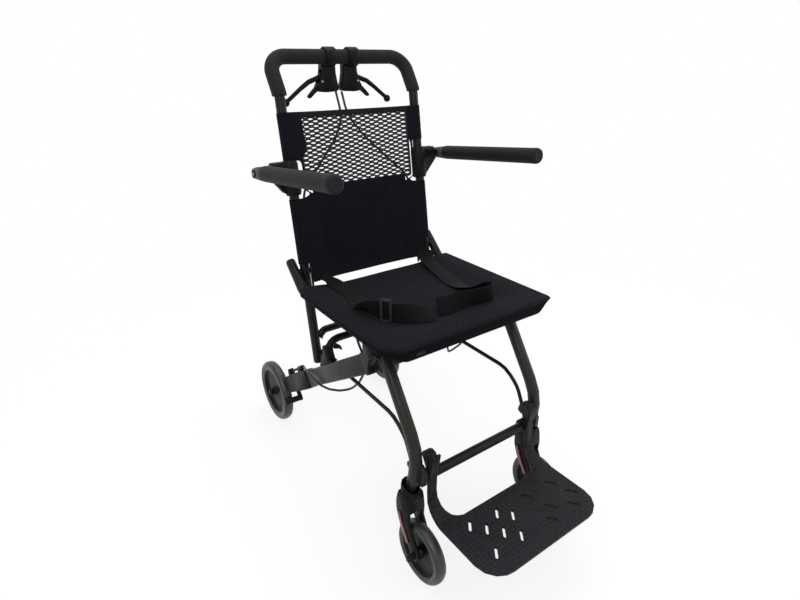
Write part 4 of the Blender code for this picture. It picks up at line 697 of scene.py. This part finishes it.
SLEEVE_R, SLEEVE_T = TUBE_R + 0.95, 1.2
SLEEVE_FLAT, SLEEVE_ROWS = 5, 56                 # points across its flat inner part, and rows up it
SLEEVE_X, SLEEVE_PROUD = 140.0, 0.9              # where the flat part ends, and how far it stands out
SLEEVE_LOW = 508.0                               # below this only the flat part runs on
CUT_LOW, CUT_STUB = 643.0, 5.0                   # the opening for the armrest's clamp
CUT_HIGH = {"left": 727.5, "right": 713.0}
INNER_EDGE = {                                   # height and x along the sleeve's inner edge
    "left": ((NET_BOTTOM, 108), (645, 108), (655, 136), (728, 136), (738, 132), (NET_TOP, 132)),
    "right": ((NET_BOTTOM, 108), (645, 108), (655, 131), (722, 131), (730, 119), (745, 117), (765, 121),
              (NET_TOP, 121))}
round_tube = [(SLEEVE_X + 8.0, -8.6)]
round_tube += [(BACK_X + SLEEVE_R * cos(radians(a)), SLEEVE_R * sin(radians(a))) for a in range(-90, 91, 15)]
round_tube += [(BACK_X - 6.5, SLEEVE_R), (BACK_X - 12.5, SLEEVE_R - 0.3)]


def edge_at(z, corners):
    """X of a sleeve's inner edge at height z."""
    for (z0, x0), (z1, x1) in zip(corners, corners[1:]):
        if z <= z1 + 0.01:
            return x0 + (x1 - x0) * (z - z0) / (z1 - z0)


for side in SIDES:
    across = SLEEVE_FLAT + len(round_tube) - 1
    bm = grid(across, SLEEVE_ROWS)
    cut = []
    for v in bm.verts:
        k = round((v.co.x + 1) / 2 * across)
        z = NET_BOTTOM + (v.co.y + 1) / 2 * (NET_TOP - NET_BOTTOM)
        free = CUT_LOW < z < CUT_HIGH[side]
        if k < SLEEVE_FLAT:
            edge = edge_at(z, INNER_EDGE[side])
            x = edge + ((edge + CUT_STUB if free else SLEEVE_X) - edge) * k / (SLEEVE_FLAT - 1)
            depth = cloth_depth(x) - SLEEVE_PROUD
        else:
            x, depth = round_tube[k - SLEEVE_FLAT]
        v.co = on_back(x, z, depth)
        if k > SLEEVE_FLAT and z < SLEEVE_LOW or k >= SLEEVE_FLAT and free:
            cut.append(v)
    bmesh.ops.delete(bm, geom=cut, context="VERTS")
    sheet_piece("back_sleeve_" + side, bm, sleeve_cloth, SLEEVE_T, mirrored=side == "right")

# Seat cover: ribbed polyester cloth sewn as a sling round the rails, slightly sagging between them.
# Its edges turn down over the rails and a double-folded lip hangs at the front, with a bare tag.
# It is a dull blue-black; its diagonal ribs get a painted highlight on their crests, and the hanging lip
# painted shade.
COVER_T = 2.2
COVER_X = RAIL_X + TUBE_R + FIT + COVER_T / 2
COVER_FRONT = SEAT_FRONT - TUBE_R - FIT - COVER_T / 2
COVER_REAR = 40.0
SAG, SAG_WAVE = 9.0, 1.2
EDGE = 3.0               # radius at which the cloth turns down
EAVE = 1.6               # how far its top edge stands out over the lip
FLAT_X, FLAT_FRONT = COVER_X + EAVE - EDGE, COVER_FRONT - EAVE + EDGE    # where the flat top ends
CORNER_R = {"left": 6.0, "right": 42.0}          # nearly square on the left, wide on the right
RAIL_LIP = 17.0          # depth of the hanging edge on the rails
FRONT_LIP, CORNER_LIFT = 10.5, 23.0              # what the front adds and what its left corner takes off


def ease(t):
    """A soft step from 0 to 1."""
    t = min(1.0, max(0.0, t))
    return t * t * (3 - 2 * t)


def sling_z(x, y):
    """Height of the sling's middle layer: level over the tubes, sagging between them."""
    inwards = ease((RAIL_X - 12 - abs(x)) / 70) * ease((y - SEAT_FRONT - 8) / 70)
    return RAIL_Z + TUBE_R + FIT + COVER_T / 2 - (SAG - SAG_WAVE * sin(y / 31.0)) * inwards


def corner_r(x):
    """Plan radius of the front corner on the side of x."""
    return CORNER_R["right" if x < 0 else "left"]


def outward(x, y):
    """Plan direction in which the edge of the sling faces at a point on it."""
    r = corner_r(x)
    u, v = abs(x) - COVER_X + r, COVER_FRONT + r - y
    if u > 0 and v > 0:
        d = Vector((copysign(u, x), -v, 0))
    elif v > u - 1:
        d = Vector((0, -1, 0))
    else:
        d = Vector((copysign(1, x), 0, 0))
    return d.normalized()


def flap_drop(x, y):
    """Depth of the hanging edge below the top: a front lip, shallower round the corners and on the rails."""
    lip = RAIL_LIP + FRONT_LIP * ease((COVER_FRONT + 46 - y) / 40) * ease((COVER_X - 2 + x) / 38)
    if x > 0:
        lip -= CORNER_LIFT * ease((x - 160) / 28) * ease((COVER_FRONT + 30 - y) / 24)
    return lip


bm = grid(72, 60)
weft = bm.verts.layers.float.new("weft")
warp = bm.verts.layers.float.new("warp")
hang = bm.verts.layers.float.new("hang")
for v in bm.verts:
    x = v.co.x * FLAT_X
    y = FLAT_FRONT + (v.co.y + 1) / 2 * (COVER_REAR - FLAT_FRONT)
    r = corner_r(x) - EDGE
    a, b = abs(x) - FLAT_X + r, FLAT_FRONT + r - y
    if a > 0 and b > 0:
        k = max(a, b) / hypot(a, b)
        x, y = copysign(FLAT_X - r + a * k, x), FLAT_FRONT + r - b * k
    v[weft], v[warp] = x, y
    wrinkle = 0.7 * noise.noise(Vector((x / 60, y / 25, 3.1))) * ease((RAIL_X - abs(x)) / 60)
    v.co = place(x, y, sling_z(x, y) + wrinkle)
rear = COVER_REAR + FLOOR_SHIFT
edges = [e for e in bm.edges if e.is_boundary and not all(v.co.y > (rear - 0.5) * MM for v in e.verts)]
# The edge's way down: mm out, mm down, and the share of the hanging depth.
turn = [(EDGE * (sin(radians(a)) - sin(radians(a - 22.5))), EDGE * (cos(radians(a - 22.5)) - cos(radians(a))),
         0.0) for a in (22.5, 45, 67.5, 90)]
fold = [(-2.4, 1.0, 0.0), (0.2, 1.0, 0.2), (0.9, 0.0, 0.24), (0.2, 0.0, 0.26), (-0.5, 0.0, 0.2),
        (-1.0, 0.0, 0.1)]
for out, down, share in turn + fold:
    got = bmesh.ops.extrude_edge_only(bm, edges=edges)["geom"]
    verts = [g for g in got if isinstance(g, bmesh.types.BMVert)]
    edges = [g for g in got if isinstance(g, bmesh.types.BMEdge) and all(v in verts for v in g.verts)]
    for v in verts:
        x, y = v.co.x / MM, v.co.y / MM - FLOOR_SHIFT
        d = outward(x, y)
        drop = down + share * (flap_drop(x, y) - EDGE - 2.0)
        v.co += (d * out - Vector((0, 0, drop))) * MM
        far = hypot(out, drop)
        v[weft] += d.x * far
        v[warp] += d.y * far
        v[hang] = 1.0 if share or down > EDGE else 0.0
bmesh.ops.recalc_face_normals(bm, faces=bm.faces)
bm.faces.ensure_lookup_table()
if max(bm.faces, key=lambda f: f.calc_center_median().z).normal.z < 0:
    bmesh.ops.reverse_faces(bm, faces=bm.faces)

ribbed, tree, skin, spot = surface("ribbed polyester cloth", IOR=1.5, Roughness=0.86, Sheen_Weight=0.02,
                                   Sheen_Roughness=0.4, Specular_IOR_Level=0.06)
lay = {n: add(tree, "Attribute", attribute_name=n).outputs["Fac"] for n in ("weft", "warp")}
RIB, PICK = 5.6, 1.4     # spacing of the diagonal ribs and stitch length in mm
skew = add(tree, "Math", {0: lay["weft"], 1: lay["warp"]}, operation="SUBTRACT").outputs[0]
row = add(tree, "Math", {0: skew, 1: cos(pi / 4) / RIB}, operation="MULTIPLY").outputs[0]
swell = add(tree, "Math", {0: add(tree, "Math", {0: row, 1: 2 * pi}, operation="MULTIPLY").outputs[0]},
            operation="SINE").outputs[0]
# Every second rib has its stitches half a stitch on.
shift = add(tree, "Math", {0: add(tree, "Math", {0: row}, operation="FLOOR").outputs[0], 1: pi},
            operation="MULTIPLY").outputs[0]
run = add(tree, "Math", {0: lay["warp"], 1: 2 * pi / PICK, 2: shift}, operation="MULTIPLY_ADD").outputs[0]
stitch = add(tree, "Math", {0: run}, operation="SINE").outputs[0]
cloth = add(tree, "Math", {0: stitch, 1: 0.35, 2: swell}, operation="MULTIPLY_ADD").outputs[0]
deep = mottled(tree, spot, 0.05, 5.0, "100F14", "16151A")[1]
# The ribs' crests are painted lighter: a painted highlight.
crest_highlight = add(tree, "MapRange", {"Value": cloth, "From Min": -0.4, "From Max": 1.3, "To Max": 0.75}).outputs[0]
tone = add(tree, "Mix", {0: crest_highlight, 6: deep, 7: linear("201F26")}, data_type="RGBA").outputs[2]
# The hanging lip is painted darker: painted shade, as it faces away from the lamps.
below = add(tree, "Attribute", attribute_name="hang").outputs["Fac"]
tone = add(tree, "Mix", {0: below, 6: tone, 7: linear("09080C")}, data_type="RGBA").outputs[2]
relief = add(tree, "Bump", {"Height": cloth, "Strength": 0.6, "Distance": 0.0004}).outputs[0]
feed(skin, Base_Color=tone, Normal=relief)
seat_cover = sewn(piece("seat_sling", bm, ribbed, "seat", ["seat_cover"], 70), COVER_T)
TAG_X, TAG_Z, TAG_W, TAG_H = -130.0, 456.0, 19.0, 6.5
TAG_Y = COVER_FRONT - 1.7


def rounded(w, h, r, n):
    """Outline of a rounded rectangle, w wide and h high, with n steps round each corner."""
    out = []
    for cx, cy, start in ((w / 2 - r, h / 2 - r, 0), (r - w / 2, h / 2 - r, 90),
                          (r - w / 2, r - h / 2, 180), (w / 2 - r, r - h / 2, 270)):
        for i in range(n + 1):
            a = radians(start + 90 * i / n)
            out.append((cx + r * cos(a), cy + r * sin(a)))
    return out


label_tape = net_cloth("woven label tape", "1B1B1F", "2B2B30", 0.0008, 0.7, 0.0)
bm = plate(rounded(TAG_W, TAG_H, 0.8, 2), from_front(TAG_Y, TAG_X, TAG_Z), 0.7)
seat_tag = piece("seat_tag", bm, label_tape, "seat")

# Seat belt: two straps of black polyester webbing with a tight rib across, left lying on the seat.
# They stand on edge towards their ends, and a ring-shaped nylon slide sits on the right one.
webbing, tree, skin, spot = surface("polyester webbing", IOR=1.5, Roughness=0.72, Sheen_Weight=0.02,
                                    Sheen_Roughness=0.4, Specular_IOR_Level=0.08)
lay = {n: add(tree, "Attribute", attribute_name=n).outputs["Fac"] for n in ("along", "across")}
turns = {}
for key, pitch in (("along", 1.9), ("across", 3.2)):
    angle = add(tree, "Math", {0: lay[key], 1: 2 * pi / pitch}, operation="MULTIPLY").outputs[0]
    turns[key] = add(tree, "Math", {0: angle}, operation="SINE").outputs[0]
weave = add(tree, "Math", {0: turns["across"], 1: 0.5, 2: turns["along"]},
            operation="MULTIPLY_ADD").outputs[0]
# The weave's crests are painted lighter: a painted highlight.
crest_highlight = add(tree, "MapRange", {"Value": weave, "From Min": -1.5, "From Max": 1.5, "To Max": 0.8}).outputs[0]
tone = add(tree, "Mix", {0: crest_highlight, 6: linear("070709"), 7: linear("121215")}, data_type="RGBA").outputs[2]
relief = add(tree, "Bump", {"Height": weave, "Strength": 0.6, "Distance": 0.0003}).outputs[0]
feed(skin, Base_Color=tone, Normal=relief)
STRAP_W, STRAP_T = 36.0, 1.6
# Points along the middle of each strap: x, y, tilt in degrees, extra height.
LEFT_STRAP = ((140, 48, 0, 14), (124, 26, 0, 3), (108, -46, 0, 0), (92, -112, 0, 0), (92, -160, 20, 0),
              (104, -192, 60, 0), (98, -216, 85, 0), (76, -222, 95, 0), (46, -216, 95, 0), (16, -214, 80, 0),
              (-14, -212, 60, 0), (-34, -204, 60, 0))
RIGHT_STRAP = ((-136, 46, 0, 12), (-120, 26, 0, 2), (-118, -46, 0, 0), (-136, -104, 6, 0),
               (-142, -140, 60, 0), (-133, -168, 90, 0), (-119, -184, 95, 0), (-98, -196, 110, 0),
               (-72, -206, 140, 0), (-50, -216, 165, 0))


def between(points, n):
    """A smooth curve through rows of numbers, n steps to each stretch."""
    out = []
    for i in range(len(points) - 1):
        p = [points[min(max(i + k, 0), len(points) - 1)] for k in (-1, 0, 1, 2)]
        for j in range(n):
            t = j / n
            out.append(tuple(0.5 * (2 * b + (c - a) * t + (2 * a - 5 * b + 4 * c - d) * t * t
                                    + (3 * b - a - 3 * c + d) * t ** 3) for a, b, c, d in zip(*p)))
    return out + [tuple(points[-1])]


def seat_top(x, y):
    """Height of the seat's upper face."""
    return sling_z(x, max(y, FLAT_FRONT)) + COVER_T / 2


def strap_stations(points, lift):
    """Stations along a strap that rests on the seat: x across it, z along it."""
    path = [place(x, y, seat_top(x, y) + extra) for x, y, tilt, extra in points]
    mats = []
    for m, (x, y, tilt, extra) in zip(stations(path), points):
        along = m.col[2].to_3d().normalized()
        flat = along.cross(Vector((0, 0, 1))).normalized()
        u = flat * cos(radians(tilt)) + flat.cross(along) * sin(radians(tilt))
        reach = [u * (STRAP_W / 2 * k / 4) for k in range(-4, 5)]
        height = lift + extra + max(seat_top(x + r.x, y + r.y) - r.z for r in reach)
        mats.append(station(u, along.cross(u), along, place(x, y, height)))
    return mats


for side, points in (("left", LEFT_STRAP), ("right", RIGHT_STRAP)):
    outline = rounded(STRAP_W, STRAP_T, 0.7, 3)
    bm = swept(outline, strap_stations(between(points, 6), STRAP_T))
    piece("belt_webbing_" + side, bm, webbing, "seat", ["belt_strap_" + side], 50)
SLIDE_W, SLIDE_H, SLIDE_T, SLIDE_WALL = 21.0, 47.0, 2.6, 3.5
SLIDE_X, SLIDE_Y, SLIDE_OFF = -126.0, -176.0, 3.4        # its place on the seat, and mm off the belt
along_belt = Vector((0.66, -0.75, 0)).normalized()
facing = along_belt.cross(Vector((0, 0, 1)))
m = station(along_belt, (0, 0, 1), facing, facing * SLIDE_OFF * MM
            + place(SLIDE_X, SLIDE_Y, sling_z(SLIDE_X, SLIDE_Y) + COVER_T / 2 + SLIDE_H / 2 + 0.5))
bm = swept(rounded(SLIDE_W, SLIDE_H, 3.0, 4),
           [sized(m, 0.96), sized(m, 1, 0.6), sized(m, 1, SLIDE_T - 0.6), sized(m, 0.96, SLIDE_T)],
           rounded(SLIDE_W - 2 * SLIDE_WALL, SLIDE_H - 2 * SLIDE_WALL, 1.5, 4))
slide_nylon = moulded_nylon("dark grey nylon", "222324", "323334", 0.0009, 0.4)
piece("belt_slide_frame", bm, slide_nylon, "seat", ["belt_slide"], 50)

# The room: a plain white floor that keeps the chair's soft shadow, three large soft lamps and the camera.
# Only the camera and shiny faces see floor and air nearly pure white; the light on the chair is dimmer.
FLOOR_HALF = 9.0         # half the floor's side in metres


def looked_at(tree):
    """1 for what the camera or a shiny or clear face sees, 0 for the light that falls on things."""
    path = add(tree, "LightPath").outputs
    seen = add(tree, "Math", {0: path["Is Camera Ray"], 1: path["Is Glossy Ray"]},
               operation="MAXIMUM").outputs[0]
    return add(tree, "Math", {0: seen, 1: path["Is Transmission Ray"]}, operation="MAXIMUM").outputs[0]


floor_white, tree, skin, spot = surface("matt white floor", Roughness=0.9, Base_Color=(0.95, 0.95, 0.95, 1))
away = add(tree, "VectorMath", {0: spot}, operation="LENGTH").outputs["Value"]
share = add(tree, "MapRange", {"Value": away, "From Min": 0.45, "From Max": 1.7, "To Min": 0.8}).outputs[0]
share = add(tree, "Math", {0: looked_at(tree), 1: share}, operation="MULTIPLY").outputs[0]
glow = add(tree, "Emission", {"Color": (1, 1, 1, 1), "Strength": 1.0}).outputs[0]
both = add(tree, "MixShader", {0: share, 1: skin.outputs[0], 2: glow}).outputs[0]
tree.links.new(both, tree.nodes["Material Output"].inputs["Surface"])
floor_plane = made_of(floor_white, "studio_floor", grid(1, 1, FLOOR_HALF))

world = bpy.data.worlds.new("studio")
scene.world = world
world.use_nodes = True
tree = world.node_tree
level = add(tree, "MapRange", {"Value": looked_at(tree), "To Min": 0.72, "To Max": 1.0}).outputs[0]
sky = tree.nodes["Background"]
sky.inputs["Color"].default_value = (1, 1, 1, 1)
tree.links.new(level, sky.inputs["Strength"])

LIT_POINT = Vector((0, 0, 0.45))
LAMPS = (("key", (-1.6, -2.0, 2.6), 1.8, 34), ("fill", (2.6, -1.4, 1.8), 2.0, 14),
         ("top", (0.2, 0.6, 3.2), 2.2, 30))      # place and width in metres, watts
for name, stand, width, watts in LAMPS:
    lamp = bpy.data.lights.new(name, "AREA")
    lamp.shape, lamp.size, lamp.energy = "DISK", width, watts
    ob = bpy.data.objects.new(name, lamp)
    scene.collection.objects.link(ob)
    ob.location = stand
    ob.rotation_euler = (LIT_POINT - Vector(stand)).to_track_quat("-Z", "Y").to_euler()

# The camera's place, tilt and lens were worked out from edges of the chair that run parallel.
lens = bpy.data.cameras.new("camera")
lens.sensor_width, lens.lens = 36.0, 23.87
camera = bpy.data.objects.new("camera", lens)
camera.location = (-0.6012, -0.8246, 0.9)
camera.rotation_euler = (radians(65.59), 0, radians(-35.42))
scene.collection.objects.link(camera)
scene.camera = camera
scene.view_settings.view_transform = "Standard"

bpy.context.view_layer.update()
